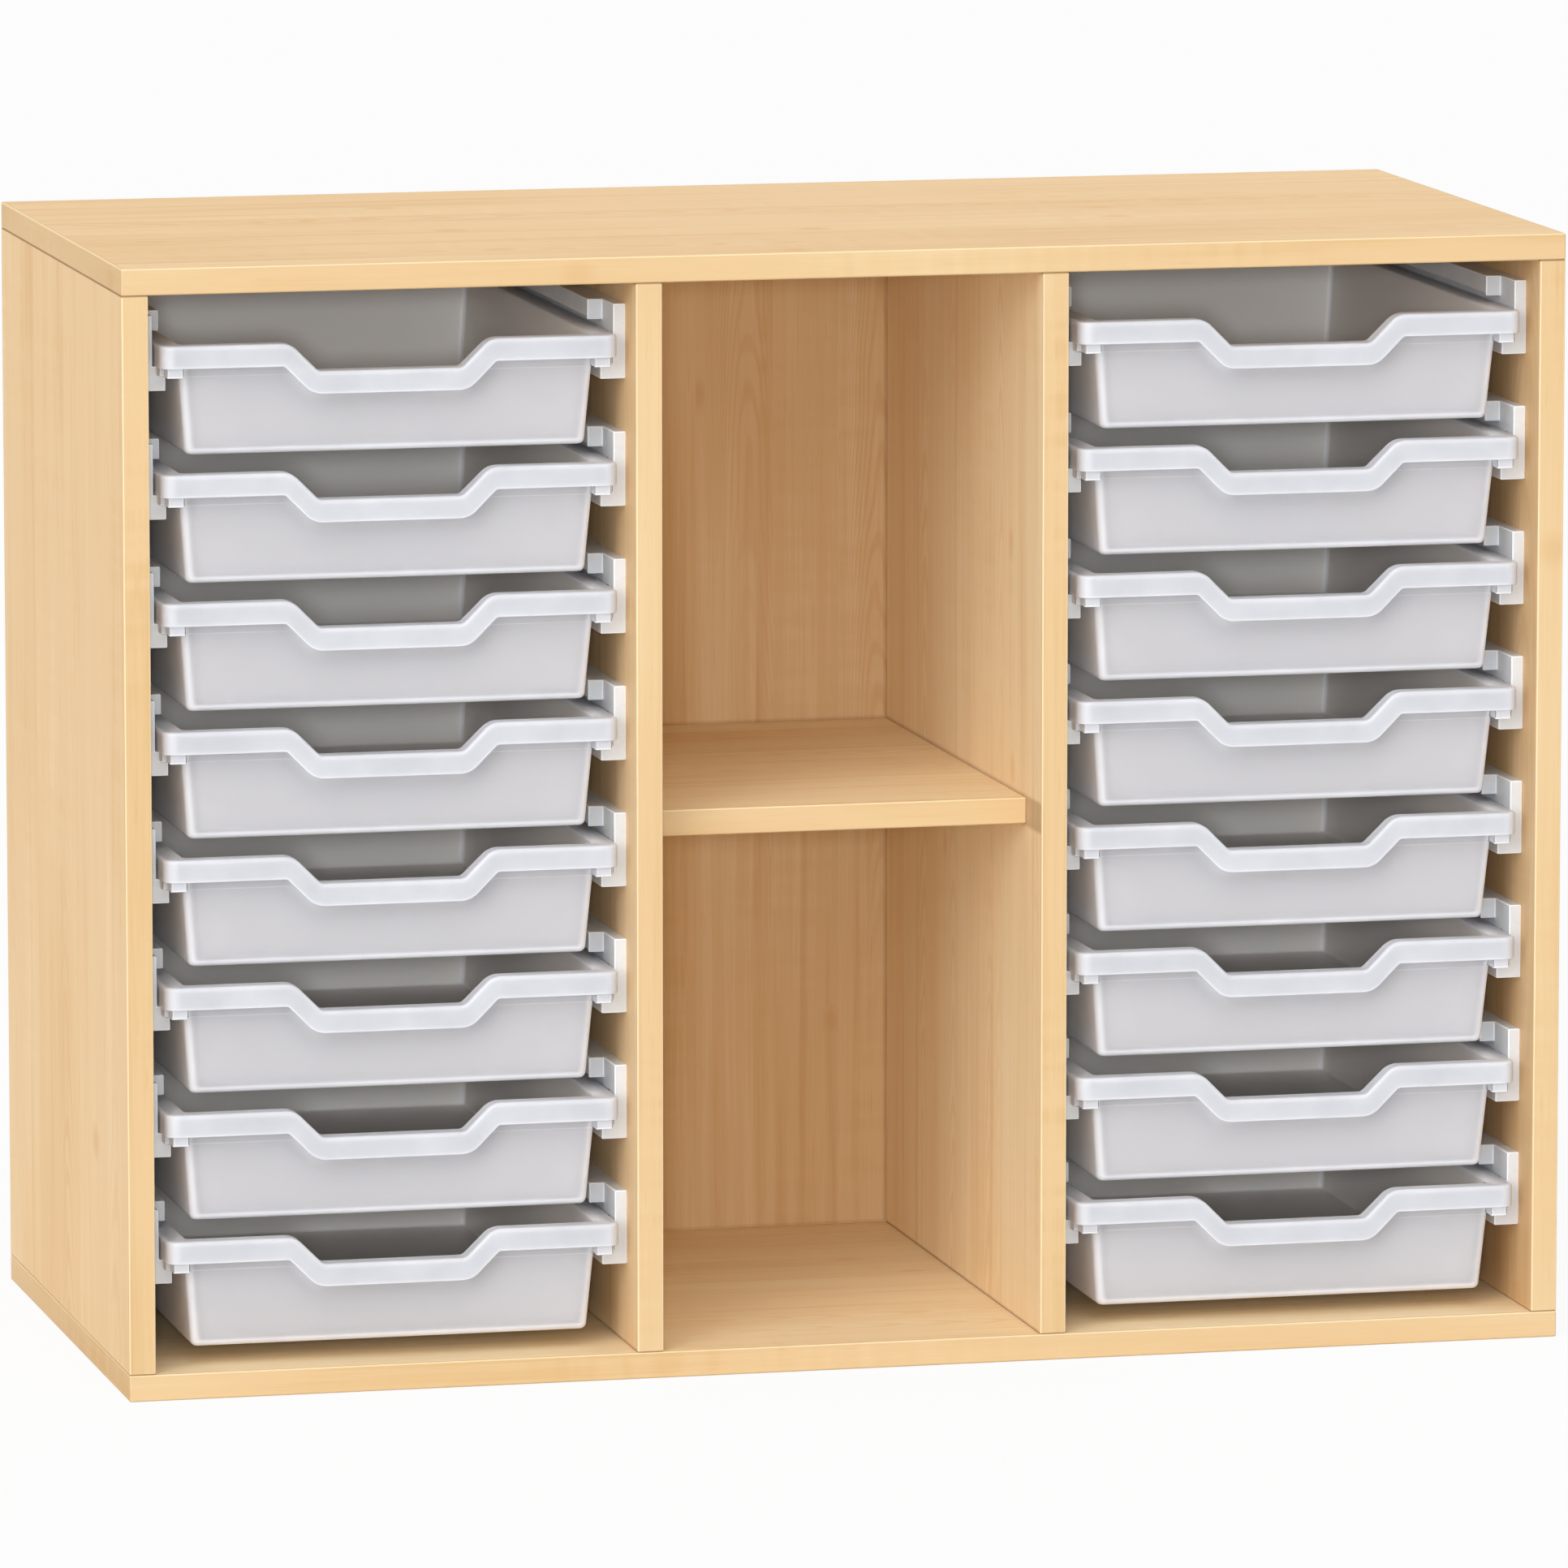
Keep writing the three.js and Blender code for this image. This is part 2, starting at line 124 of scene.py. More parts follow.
class NodeSheet:
    """The nodes of one material, with short calls to add and join them."""

    def __init__(self, name: str) -> None:
        """Start a material with a Principled shader and nothing else.

        Args:
            name: The material's name.
        """
        self.material = bpy.data.materials.new(name)
        self.material.use_nodes = True
        self.tree = self.material.node_tree
        self.tree.nodes.clear()
        self.shader = self.add("ShaderNodeBsdfPrincipled")
        self.output = self.add("ShaderNodeOutputMaterial")
        self.tree.links.new(self.shader.outputs["BSDF"], self.output.inputs["Surface"])

    def add(self, kind: str, **settings: Any) -> bpy.types.Node:
        """Add a node of a kind and set its properties.

        Args:
            kind: The node's type name.
            settings: Properties of the node.

        Returns:
            The new node.
        """
        node = self.tree.nodes.new(kind)
        for key, value in settings.items():
            setattr(node, key, value)
        return node

    def feed(self, socket: bpy.types.NodeSocket, source: Feed) -> None:
        """Join a socket to another one, or set it to a plain value.

        Args:
            socket: The input to feed.
            source: A socket to join, a number or a colour.
        """
        if isinstance(source, bpy.types.NodeSocket):
            self.tree.links.new(source, socket)
        elif isinstance(source, tuple) and len(socket.default_value) == 4:
            socket.default_value = (*source, 1.0)
        else:
            socket.default_value = source

    def math(self, operation: str, first: Feed, second: Feed = 0.0) -> bpy.types.NodeSocket:
        """Work out one sum.

        Args:
            operation: The Math node's operation.
            first: Its first value.
            second: Its second value, where it has one.

        Returns:
            The result.
        """
        node = self.add("ShaderNodeMath", operation=operation)
        self.feed(node.inputs[0], first)
        self.feed(node.inputs[1], second)
        return node.outputs[0]

    def vector(self, x: Feed, y: Feed, z: Feed = 0.0) -> bpy.types.NodeSocket:
        """Put three values together as a vector.

        Args:
            x: The first value.
            y: The second value.
            z: The third value.

        Returns:
            The vector.
        """
        node = self.add("ShaderNodeCombineXYZ")
        for socket, source in zip(node.inputs, (x, y, z)):
            self.feed(socket, source)
        return node.outputs[0]

    def attribute(self, name: str) -> bpy.types.Node:
        """The node that reads an attribute of the mesh by its name."""
        return self.add("ShaderNodeAttribute", attribute_name=name)

    def split(self, vector: bpy.types.NodeSocket) -> tuple[bpy.types.NodeSocket, ...]:
        """Take a vector apart.

        Args:
            vector: The vector to take apart.

        Returns:
            Its three values.
        """
        node = self.add("ShaderNodeSeparateXYZ")
        self.feed(node.inputs[0], vector)
        return tuple(node.outputs)

    def noise(self, vector: bpy.types.NodeSocket, cloud: Cloud) -> bpy.types.NodeSocket:
        """Cloudy noise over a vector.

        Args:
            vector: Where the noise is read.
            cloud: How fine and how rough it is.

        Returns:
            The noise, about 0.5 on average.
        """
        node = self.add("ShaderNodeTexNoise")
        self.feed(node.inputs["Vector"], vector)
        node.inputs["Scale"].default_value = cloud.scale
        node.inputs["Detail"].default_value = cloud.detail
        node.inputs["Roughness"].default_value = cloud.roughness
        return node.outputs[0]

    def between(self, value: bpy.types.NodeSocket, low: float, high: float) -> bpy.types.NodeSocket:
        """Smooth step of a value from 0 at low to 1 at high.

        Args:
            value: The value to step.
            low: Where the step starts.
            high: Where it ends.

        Returns:
            The step, from 0 to 1.
        """
        node = self.add("ShaderNodeMapRange", interpolation_type="SMOOTHSTEP")
        self.feed(node.inputs["Value"], value)
        node.inputs["From Min"].default_value = low
        node.inputs["From Max"].default_value = high
        return node.outputs[0]

    def swing(self, value: bpy.types.NodeSocket, amount: float) -> bpy.types.NodeSocket:
        """A value from 0 to 1 made to swing by an amount to either side of 0."""
        return self.math("MULTIPLY", self.math("SUBTRACT", value, 0.5), 2 * amount)

    def total(self, *values: Feed) -> bpy.types.NodeSocket:
        """Add values up.

        Args:
            values: The values, the first of which is a socket.

        Returns:
            Their sum.
        """
        result = values[0]
        for value in values[1:]:
            result = self.math("ADD", result, value)
        return result

    def mix(self, share: Feed, first: Feed, second: Feed) -> bpy.types.NodeSocket:
        """Mix two colours.

        Args:
            share: How much of the second colour there is.
            first: The colour at a share of 0.
            second: The colour at a share of 1.

        Returns:
            The mixed colour.
        """
        node = self.add("ShaderNodeMix", data_type="RGBA")
        colours = [socket for socket in node.inputs if socket.type == "RGBA"]
        self.feed(node.inputs[0], share)
        self.feed(colours[0], first)
        self.feed(colours[1], second)
        return next(socket for socket in node.outputs if socket.type == "RGBA")

    def bump(self, height: bpy.types.NodeSocket, strength: float, distance: float) -> None:
        """Raise the surface by a height.

        Args:
            height: The height, from 0 to 1.
            strength: How much of the bump shows.
            distance: How far the surface rises at a height of 1, in metres.
        """
        node = self.add("ShaderNodeBump")
        node.inputs["Strength"].default_value = strength
        node.inputs["Distance"].default_value = distance
        self.feed(node.inputs["Height"], height)
        self.feed(self.shader.inputs["Normal"], node.outputs[0])

    def place(self) -> bpy.types.NodeSocket:
        """The place on the object, in metres."""
        return self.add("ShaderNodeTexCoord").outputs["Object"]

    def paint(self, colour: Feed) -> None:
        """Give the surface its colour."""
        self.feed(self.shader.inputs["Base Color"], colour)

    def roughen(self, value: bpy.types.NodeSocket, middle: float, swing: float) -> None:
        """Let the roughness of the surface follow a value.

        Args:
            value: The value to follow, from 0 to 1.
            middle: The roughness where the value is 0.5.
            swing: How far the roughness swings to either side.
        """
        self.feed(self.shader.inputs["Roughness"], self.total(self.swing(value, swing), middle))


@dataclass(frozen=True)
class GrainPlace:
    """Where a point is on the grain of one plank.

    Attributes:
        sheet: The nodes of the material.
        along: Metres along the grain.
        across: Metres across the grain.
        through: Metres through the board.
        off_middle: Distance from the middle of the plank, in plank widths.
    """

    sheet: NodeSheet
    along: bpy.types.NodeSocket
    across: bpy.types.NodeSocket
    through: bpy.types.NodeSocket
    off_middle: bpy.types.NodeSocket

    def scaled(self, along: float, across: float, depth: Feed = 0.0) -> bpy.types.NodeSocket:
        """The place on a pattern that is drawn out along the grain.

        Args:
            along: Steps of the pattern to a metre along the grain.
            across: Steps of it to a metre across the grain.
            depth: The layer of the pattern that is read.

        Returns:
            The place as a vector.
        """
        long = self.sheet.math("MULTIPLY", self.along, along)
        wide = self.sheet.math("MULTIPLY", self.across, across)
        return self.sheet.vector(long, wide, depth)


@dataclass(frozen=True)
class Streaks:
    """Noise drawn out along the grain into streaks.

    Attributes:
        along: Streaks to a metre along the grain.
        across: Streaks to a metre across the grain.
        detail: How many finer layers the noise has.
        low: The noise at which a streak starts.
        high: The noise at which it is full.
    """

    along: float
    across: float
    detail: float
    low: float
    high: float

    def mark(self, grain: GrainPlace) -> bpy.types.NodeSocket:
        """How strong the streaks are at a place.

        Args:
            grain: The place.

        Returns:
            Their strength, from 0 to 1.
        """
        place = grain.scaled(self.along, self.across, grain.through)
        return grain.sheet.between(grain.sheet.noise(place, Cloud(detail=self.detail)), self.low, self.high)


@dataclass(frozen=True)
class RingArches:
    """Growth rings cut as nested arches along the middle of a plank, in patches that fade in and out.

    Attributes:
        rings: Rings to a metre along the grain.
        curve: How many rings an arch runs back by at one plank width from the middle.
        waver: How many rings the lines waver by, to either side.
        waver_along: Wavers to a metre along the grain.
        waver_across: Wavers to a metre across the grain.
        line_low: The wave at which a ring line starts.
        line_high: The wave at which it is darkest.
        patch_along: Patches to a metre along the grain.
        patch_across: Patches to a metre across the grain.
        patch_detail: How many finer layers the patches have.
        patch_layer: The layer of the noise that the patches are read from.
        patch_low: The noise at which a patch starts.
        patch_high: The noise at which its lines show in full.
    """

    rings: float = 20.0
    curve: float = 34.0
    waver: float = 2.5
    waver_along: float = 5.0
    waver_across: float = 26.0
    line_low: float = -0.2
    line_high: float = 1.0
    patch_along: float = 1.4
    patch_across: float = 7.0
    patch_detail: float = 1.0
    patch_layer: float = 3.0
    patch_low: float = 0.46
    patch_high: float = 0.64

    def mark(self, grain: GrainPlace) -> bpy.types.NodeSocket:
        """How dark the ring lines are at a place.

        Args:
            grain: The place.

        Returns:
            Their darkness, from 0 to 1.
        """
        sheet = grain.sheet
        waver = sheet.noise(grain.scaled(self.waver_along, self.waver_across), Cloud())
        bend = sheet.math("MULTIPLY", sheet.math("MULTIPLY", grain.off_middle, grain.off_middle), self.curve)
        rings = sheet.math("MULTIPLY", grain.along, self.rings)
        phase = sheet.total(rings, bend, sheet.swing(waver, self.waver))
        wave = sheet.math("SINE", sheet.math("MULTIPLY", phase, 2 * math.pi))
        line = sheet.between(wave, self.line_low, self.line_high)
        place = grain.scaled(self.patch_along, self.patch_across, self.patch_layer)
        patch = sheet.noise(place, Cloud(detail=self.patch_detail))
        return sheet.math("MULTIPLY", line, sheet.between(patch, self.patch_low, self.patch_high))


@dataclass(frozen=True)
class PinKnots:
    """Small pin knots, a few to each board.

    Attributes:
        along: Places for a knot to a metre along the grain.
        across: Places for a knot to a metre across the grain.
        chance_low: The draw, from 0 to 1, above which a place starts to have a knot.
        chance_high: The draw from which its knot shows in full.
        rim: How far from its heart a knot ends, in places.
        heart: How far from its middle a knot is darkest, in places.
    """

    along: float = 4.0
    across: float = 9.0
    chance_low: float = 0.54
    chance_high: float = 0.58
    rim: float = 0.07
    heart: float = 0.01

    def mark(self, grain: GrainPlace) -> bpy.types.NodeSocket:
        """How dark a knot is at a place.

        Args:
            grain: The place.

        Returns:
            Its darkness, from 0 to 1 at its heart.
        """
        sheet = grain.sheet
        spot = sheet.add("ShaderNodeTexVoronoi", voronoi_dimensions="2D")
        spot.inputs["Scale"].default_value = 1.0
        sheet.feed(spot.inputs["Vector"], grain.scaled(self.along, self.across))
        chance, _, _ = sheet.split(spot.outputs["Color"])
        chosen = sheet.between(chance, self.chance_low, self.chance_high)
        return sheet.math("MULTIPLY", chosen, sheet.between(spot.outputs["Distance"], self.rim, self.heart))


@dataclass(frozen=True)
class MapleFinish:
    """Pale maple foil: planks of slightly different tone, long streaks, arched figure, flecks and pin knots.

    It is read along the mesh's own grain: metres along, across and through the grain. Arrises turned to the
    light have a painted highlight; joints are darker, and arrises underneath and corners where boards meet
    have painted shade.

    Attributes:
        name: The material's name.
        pale: The palest tone of the ground.
        middle: The middle tone of the ground.
        deep: The deepest tone of the ground.
        amber: The tone of broad streaks, rings, flecks and knots.
        arris: The colour of the painted highlight on an eased arris that is turned to the light.
        seam: The tone of a dark joint, also painted as shade on arrises underneath and in corners where
            boards meet.
        plank_width: The width of a plank on the sheet, in metres.
        plank_swing: How far the ground swings from plank to plank, where 0.5 is from its middle to its end.
        streak_swing: How far the ground swings with the streaks.
        fibre_swing: How far the ground swings with the fibres.
        cloud_swing: How far the ground swings with the clouds.
        ripple_swing: How far the ground swings with the ripples.
        amber_share: How amber the broad streaks are, from 0 to 1.
        figure_share: How amber the rings are.
        fleck_share: How amber the flecks are.
        knot_share: How amber the knots are.
        roughness: The roughness of the surface.
        gloss: How much of a plain surface's gloss it has.
        roughness_swing: How far the roughness swings with the streaks.
        plank_slide: How far planks are slid along each other, in metres.
        relief: How much of the fibres' relief shows.
        relief_height: The height of that relief.
        streaks: Long streaks.
        fibres: Fine fibres.
        clouds: Broad clouds.
        ripples: Ripples across the grain.
        ripple_patches: Where the ripples are.
        ambers: Broad amber streaks.
        flecks: Short flecks.
        arches: Arched rings.
        knots: Pin knots.
    """

    name: str
    pale: Colour
    middle: Colour
    deep: Colour
    amber: Colour
    arris: Colour
    seam: Colour
    plank_width: float
    plank_swing: float
    streak_swing: float
    fibre_swing: float
    cloud_swing: float
    ripple_swing: float
    amber_share: float
    figure_share: float
    fleck_share: float
    knot_share: float
    roughness: float
    gloss: float = 0.03
    roughness_swing: float = 0.05
    plank_slide: float = 9.0
    relief: float = 0.06
    relief_height: float = 0.1 * MM
    streaks: Streaks = Streaks(along=1.7, across=120.0, detail=4.0, low=0.30, high=0.70)
    fibres: Streaks = Streaks(along=14.0, across=1000.0, detail=1.0, low=0.30, high=0.70)
    clouds: Streaks = Streaks(along=2.2, across=15.0, detail=2.0, low=0.32, high=0.68)
    ripples: Streaks = Streaks(along=85.0, across=11.0, detail=1.0, low=0.30, high=0.70)
    ripple_patches: Streaks = Streaks(along=4.0, across=20.0, detail=0.0, low=0.42, high=0.62)
    ambers: Streaks = Streaks(along=2.6, across=95.0, detail=3.0, low=0.52, high=0.76)
    flecks: Streaks = Streaks(along=26.0, across=420.0, detail=1.0, low=0.66, high=0.80)
    arches: RingArches = RingArches()
    knots: PinKnots = PinKnots()

    def material(self) -> bpy.types.Material:
        """The finish as a material."""
        sheet = NodeSheet(self.name)
        along, across, through = sheet.split(sheet.attribute("grain").outputs["Vector"])
        plank = sheet.add("ShaderNodeTexVoronoi", voronoi_dimensions="1D")
        plank.inputs["Scale"].default_value = 1.0
        sheet.feed(plank.inputs["W"], sheet.math("DIVIDE", across, self.plank_width))
        tone, slide, _ = sheet.split(plank.outputs["Color"])
        slid = sheet.math("ADD", along, sheet.math("MULTIPLY", slide, self.plank_slide))
        grain = GrainPlace(sheet, slid, across, through, plank.outputs["Distance"])
        streak = self.streaks.mark(grain)
        fibre = self.fibres.mark(grain)
        ground = self.ground(grain, tone, streak, fibre)
        figured = sheet.mix(self.figure(grain), ground, self.amber)
        # The arris attribute is above 0 for a painted highlight, and below 0 for a dark joint and for painted
        # shade under arrises and in corners.
        eased = sheet.attribute("arris").outputs["Fac"]
        highlighted_foil = sheet.mix(eased, figured, self.arris)
        joint_and_shade = sheet.math("MULTIPLY", eased, -1.0)
        sheet.paint(sheet.mix(joint_and_shade, highlighted_foil, self.seam))
        sheet.roughen(streak, self.roughness, self.roughness_swing)
        sheet.shader.inputs["Specular IOR Level"].default_value = self.gloss
        sheet.bump(fibre, self.relief, self.relief_height)
        return sheet.material

    def ground(self, grain: GrainPlace, tone: bpy.types.NodeSocket, streak: bpy.types.NodeSocket,
               fibre: bpy.types.NodeSocket) -> bpy.types.NodeSocket:
        """The colour of the wood between its marks.

        Args:
            grain: The place on the grain.
            tone: The tone of the plank, from 0 to 1.
            streak: The strength of the streaks, from 0 to 1.
            fibre: The strength of the fibres, from 0 to 1.

        Returns:
            The colour.
        """
        sheet = grain.sheet
        cloud = self.clouds.mark(grain)
        ripple = sheet.math("MULTIPLY", sheet.swing(self.ripples.mark(grain), self.ripple_swing),
                            self.ripple_patches.mark(grain))
        middle = 0.5
        value = sheet.total(sheet.swing(tone, self.plank_swing), sheet.swing(streak, self.streak_swing),
                            sheet.swing(fibre, self.fibre_swing), sheet.swing(cloud, self.cloud_swing),
                            ripple, middle)
        lower = sheet.mix(sheet.between(value, 0.0, middle), self.deep, self.middle)
        return sheet.mix(sheet.between(value, middle, 1.0), lower, self.pale)

    def figure(self, grain: GrainPlace) -> bpy.types.NodeSocket:
        """How amber the marks on the wood are.

        Args:
            grain: The place on the grain.

        Returns:
            The share of amber of the strongest mark there.
        """
        sheet = grain.sheet
        marks = ((self.ambers, self.amber_share), (self.arches, self.figure_share),
                 (self.flecks, self.fleck_share), (self.knots, self.knot_share))
        strongest = 0.0
        for kind, share in marks:
            strongest = sheet.math("MAXIMUM", sheet.math("MULTIPLY", kind.mark(grain), share), strongest)
        return strongest


@dataclass(frozen=True)
class FrostedFinish:
    """Milky polypropylene that lets light pass, with a painted highlight that whitens its edges and corners.

    Attributes:
        name: The material's name.
        wall: The colour of the outer walls.
        painted_light_inside: The colour of the inner walls, paler and warmer than the outer walls: painted
            light that lifts
        the shade inside the tray.
        edge: The colour of the painted highlight.
        passing: The share of light that passes the outer walls.
        passing_inside: The share of light that passes the inner walls.
        roughness: The roughness of the surface.
        roughness_swing: How far the roughness swings with the haze.
        haze: Slow changes in the milk.
        haze_swing: How far the haze shifts the painted highlight.
        grit: The fine grain of the mould.
        relief: How much of the grit shows.
        relief_height: The height of the grit.
    """

    name: str
    wall: Colour
    painted_light_inside: Colour
    edge: Colour
    passing: float
    passing_inside: float
    roughness: float
    roughness_swing: float = 0.07
    haze: Cloud = Cloud(scale=38.0, detail=3.0, roughness=0.6)
    haze_swing: float = 0.10
    grit: Cloud = Cloud(scale=2600.0, detail=2.0, roughness=0.5)
    relief: float = 0.06
    relief_height: float = 0.05 * MM

    def material(self) -> bpy.types.Material:
        """The finish as a material."""
        sheet = NodeSheet(self.name)
        place = sheet.place()
        haze = sheet.noise(place, self.haze)
        # The edge attribute is a painted highlight, which also lets less light pass.
        glow = sheet.attribute("edge").outputs["Fac"]
        painted_highlight = sheet.between(sheet.math("ADD", glow, sheet.swing(haze, self.haze_swing)), 0.0, 1.0)
        inside = sheet.attribute("inside").outputs["Fac"]
        colour = sheet.mix(painted_highlight, sheet.mix(inside, self.wall, self.painted_light_inside), self.edge)
        sheet.paint(colour)
        sheet.roughen(haze, self.roughness, self.roughness_swing)
        sheet.bump(sheet.noise(place, self.grit), self.relief, self.relief_height)
        through = sheet.add("ShaderNodeBsdfTranslucent")
        sheet.feed(through.inputs["Color"], colour)
        lost = sheet.math("MULTIPLY", inside, self.passing - self.passing_inside)
        passing = sheet.math("MULTIPLY", sheet.math("SUBTRACT", 1.0, painted_highlight),
                             sheet.math("SUBTRACT", self.passing, lost))
        both = sheet.add("ShaderNodeMixShader")
        sheet.feed(both.inputs[0], passing)
        sheet.feed(both.inputs[1], sheet.shader.outputs["BSDF"])
        sheet.feed(both.inputs[2], through.outputs["BSDF"])
        sheet.feed(sheet.output.inputs["Surface"], both.outputs[0])
        return sheet.material


@dataclass(frozen=True)
class MouldedFinish:
    """White moulded plastic with a fine grained skin and a painted highlight along its edges.

    Attributes:
        name: The material's name.
        colour: The colour of most of it.
        shade: The colour where it is clouded.
        edge: The colour of the painted highlight along its edges.
        roughness: The roughness of the surface.
        roughness_swing: How far the roughness swings with the clouds.
        cloud: The clouds.
        cloud_low: The noise at which a cloud starts.
        cloud_high: The noise at which it is full.
        grit: The fine grain of the mould.
        relief: How much of the grit shows.
        relief_height: The height of the grit.
    """

    name: str
    colour: Colour
    shade: Colour
    edge: Colour
    roughness: float
    roughness_swing: float = 0.08
    cloud: Cloud = Cloud(scale=24.0, detail=3.0, roughness=0.55)
    cloud_low: float = 0.35
    cloud_high: float = 0.75
    grit: Cloud = Cloud(scale=1800.0, detail=1.0, roughness=0.5)
    relief: float = 0.05
    relief_height: float = 0.05 * MM

    def material(self) -> bpy.types.Material:
        """The finish as a material."""
        sheet = NodeSheet(self.name)
        place = sheet.place()
        cloud = sheet.noise(place, self.cloud)
        ground = sheet.mix(sheet.between(cloud, self.cloud_low, self.cloud_high), self.colour, self.shade)
        # A painted highlight along the edges.
        sheet.paint(sheet.mix(sheet.attribute("edge").outputs["Fac"], ground, self.edge))
        sheet.roughen(cloud, self.roughness, self.roughness_swing)
        sheet.bump(sheet.noise(place, self.grit), self.relief, self.relief_height)
        return sheet.material


@dataclass(frozen=True)
class ZincFinish:
    """Bright zinc plate on the screws, slightly clouded.

    Attributes:
        name: The material's name.
        bright: The colour where it is clear.
        dull: The colour where it is clouded.
        cloud: The clouds.
        roughness: The roughness of the surface.
        roughness_swing: How far the roughness swings with the clouds.
    """

    name: str
    bright: Colour
    dull: Colour
    cloud: Cloud = Cloud(scale=700.0, detail=3.0, roughness=0.6)
    roughness: float = 0.36
    roughness_swing: float = 0.1

    def material(self) -> bpy.types.Material:
        """The finish as a material."""
        sheet = NodeSheet(self.name)
        cloud = sheet.noise(sheet.place(), self.cloud)
        sheet.paint(sheet.mix(cloud, self.bright, self.dull))
        sheet.roughen(cloud, self.roughness, self.roughness_swing)
        sheet.shader.inputs["Metallic"].default_value = 1.0
        return sheet.material


@dataclass(frozen=True)
class BeechFinish:
    """Bare fluted beech of the dowels: short dark rays along the peg.

    Attributes:
        name: The material's name.
        ground: The colour between the rays.
        ray: The colour of a ray.
        along: Rays to a metre along the peg.
        across: Rays to a metre across the peg.
        ray_low: The noise at which a ray starts.
        ray_high: The noise at which it is darkest.
        roughness: The roughness of the surface.
        relief: How much of the rays' relief shows.
        relief_height: The height of that relief.
    """

    name: str
    ground: Colour
    ray: Colour
    along: float = 90.0
    across: float = 900.0
    ray_low: float = 0.5
    ray_high: float = 0.72
    roughness: float = 0.7
    relief: float = 0.2
    relief_height: float = 0.2 * MM

    def material(self) -> bpy.types.Material:
        """The finish as a material."""
        sheet = NodeSheet(self.name)
        x, y, z = sheet.split(sheet.place())
        place = sheet.vector(sheet.math("MULTIPLY", x, self.along), sheet.math("MULTIPLY", y, self.across),
                             sheet.math("MULTIPLY", z, self.across))
        rays = sheet.noise(place, Cloud())
        sheet.paint(sheet.mix(sheet.between(rays, self.ray_low, self.ray_high), self.ground, self.ray))
        sheet.shader.inputs["Roughness"].default_value = self.roughness
        sheet.bump(rays, self.relief, self.relief_height)
        return sheet.material


FACE_FOIL = MapleFinish(
    name="maple_face", pale=from_screen(245, 215, 172), middle=from_screen(240, 205, 158),
    deep=from_screen(233, 193, 142), amber=from_screen(222, 172, 114), arris=from_screen(252, 228, 186),
    seam=from_screen(138, 92, 48), plank_width=0.052, plank_swing=0.15, streak_swing=0.18, fibre_swing=0.08,
    cloud_swing=0.20, ripple_swing=0.07, amber_share=0.38, figure_share=0.30, fleck_share=0.26,
    knot_share=0.45, roughness=0.5)
EDGE_FOIL = MapleFinish(
    name="maple_edging", pale=from_screen(232, 200, 154), middle=from_screen(228, 193, 145),
    deep=from_screen(221, 182, 130), amber=from_screen(212, 165, 108), arris=from_screen(248, 224, 182),
    seam=from_screen(138, 92, 48), plank_width=0.9, plank_swing=0.05, streak_swing=0.16, fibre_swing=0.06,
    cloud_swing=0.30, ripple_swing=0.12, amber_share=0.26, figure_share=0.0, fleck_share=0.2, knot_share=0.3,
    roughness=0.46)
# A paler copy of the face foil for the faces inside the bay: painted light that lifts the bay's shade.
PAINTED_LIGHT_FOIL = replace(
    FACE_FOIL, name="maple_painted_light", pale=from_screen(249, 227, 189), middle=from_screen(246, 219, 177),
    deep=from_screen(240, 207, 160), amber=from_screen(228, 182, 125))
# A deeper copy of the face foil for the back panel and the right side's inner face: painted shade.
PAINTED_SHADE_FOIL = replace(
    FACE_FOIL, name="maple_painted_shade", pale=from_screen(231, 198, 154), middle=from_screen(224, 186, 138),
    deep=from_screen(216, 173, 122), amber=from_screen(204, 151, 95))
FROSTED = FrostedFinish(
    name="frosted_polypropylene", wall=from_screen(219, 220, 224), painted_light_inside=from_screen(255, 246, 237),
    edge=from_screen(252, 250, 252), passing=0.72, passing_inside=0.08, roughness=0.38)
RUNNER_WHITE = MouldedFinish(
    name="white_moulding", colour=from_screen(228, 228, 228), shade=from_screen(219, 219, 220),
    edge=from_screen(250, 250, 253), roughness=0.42)
ZINC = ZincFinish(name="zinc_screw", bright=from_screen(214, 214, 212), dull=from_screen(176, 177, 178))
BEECH = BeechFinish(name="bare_beech", ground=from_screen(216, 176, 124), ray=from_screen(184, 136, 84))


class Axis(Enum):
    """The three ways along the unit."""

    WIDTH = 0
    DEPTH = 1
    HEIGHT = 2


class Foil(Enum):
    """The kinds of foil on the boards, as numbers of their materials."""

    FACE = 0
    EDGING = 1
    # Painted light: a paler copy of the face foil for the faces inside the bay.
    LIT_BY_PAINT = 2
    # Painted shade: a deeper copy of the face foil.
    SHADED_BY_PAINT = 3


class Edge(Enum):
    """An edge of a board: the axis that it faces along, and its sign."""

    FRONT = (Axis.DEPTH, -1)
    REAR = (Axis.DEPTH, 1)
    LEFT = (Axis.WIDTH, -1)
    RIGHT = (Axis.WIDTH, 1)


def finish_piece(name: str, mesh: bpy.types.Mesh, materials: Sequence[bpy.types.Material], body: str,
                 replaced: Sequence[str] = ()) -> bpy.types.Object:
    """Put a finished mesh into the scene, hang it on the body that it moves with, and hide the model's nodes
    that it stands for.

    Args:
        name: The piece's name.
        mesh: Its mesh, with its place in its points.
        materials: Its materials, in the order of the faces' material numbers.
        body: The body that it moves with.
        replaced: The model's nodes that it stands for.

    Returns:
        The new object.
    """
    piece = bpy.data.objects.new(name, mesh)
    if not mesh.materials:
        for material in materials:
            mesh.materials.append(material)
    bpy.context.scene.collection.objects.link(piece)
    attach(piece, body)
    if replaced:
        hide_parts(*replaced)
    LOG.info("%s: %d faces on %s", name, len(mesh.polygons), body)
    return piece


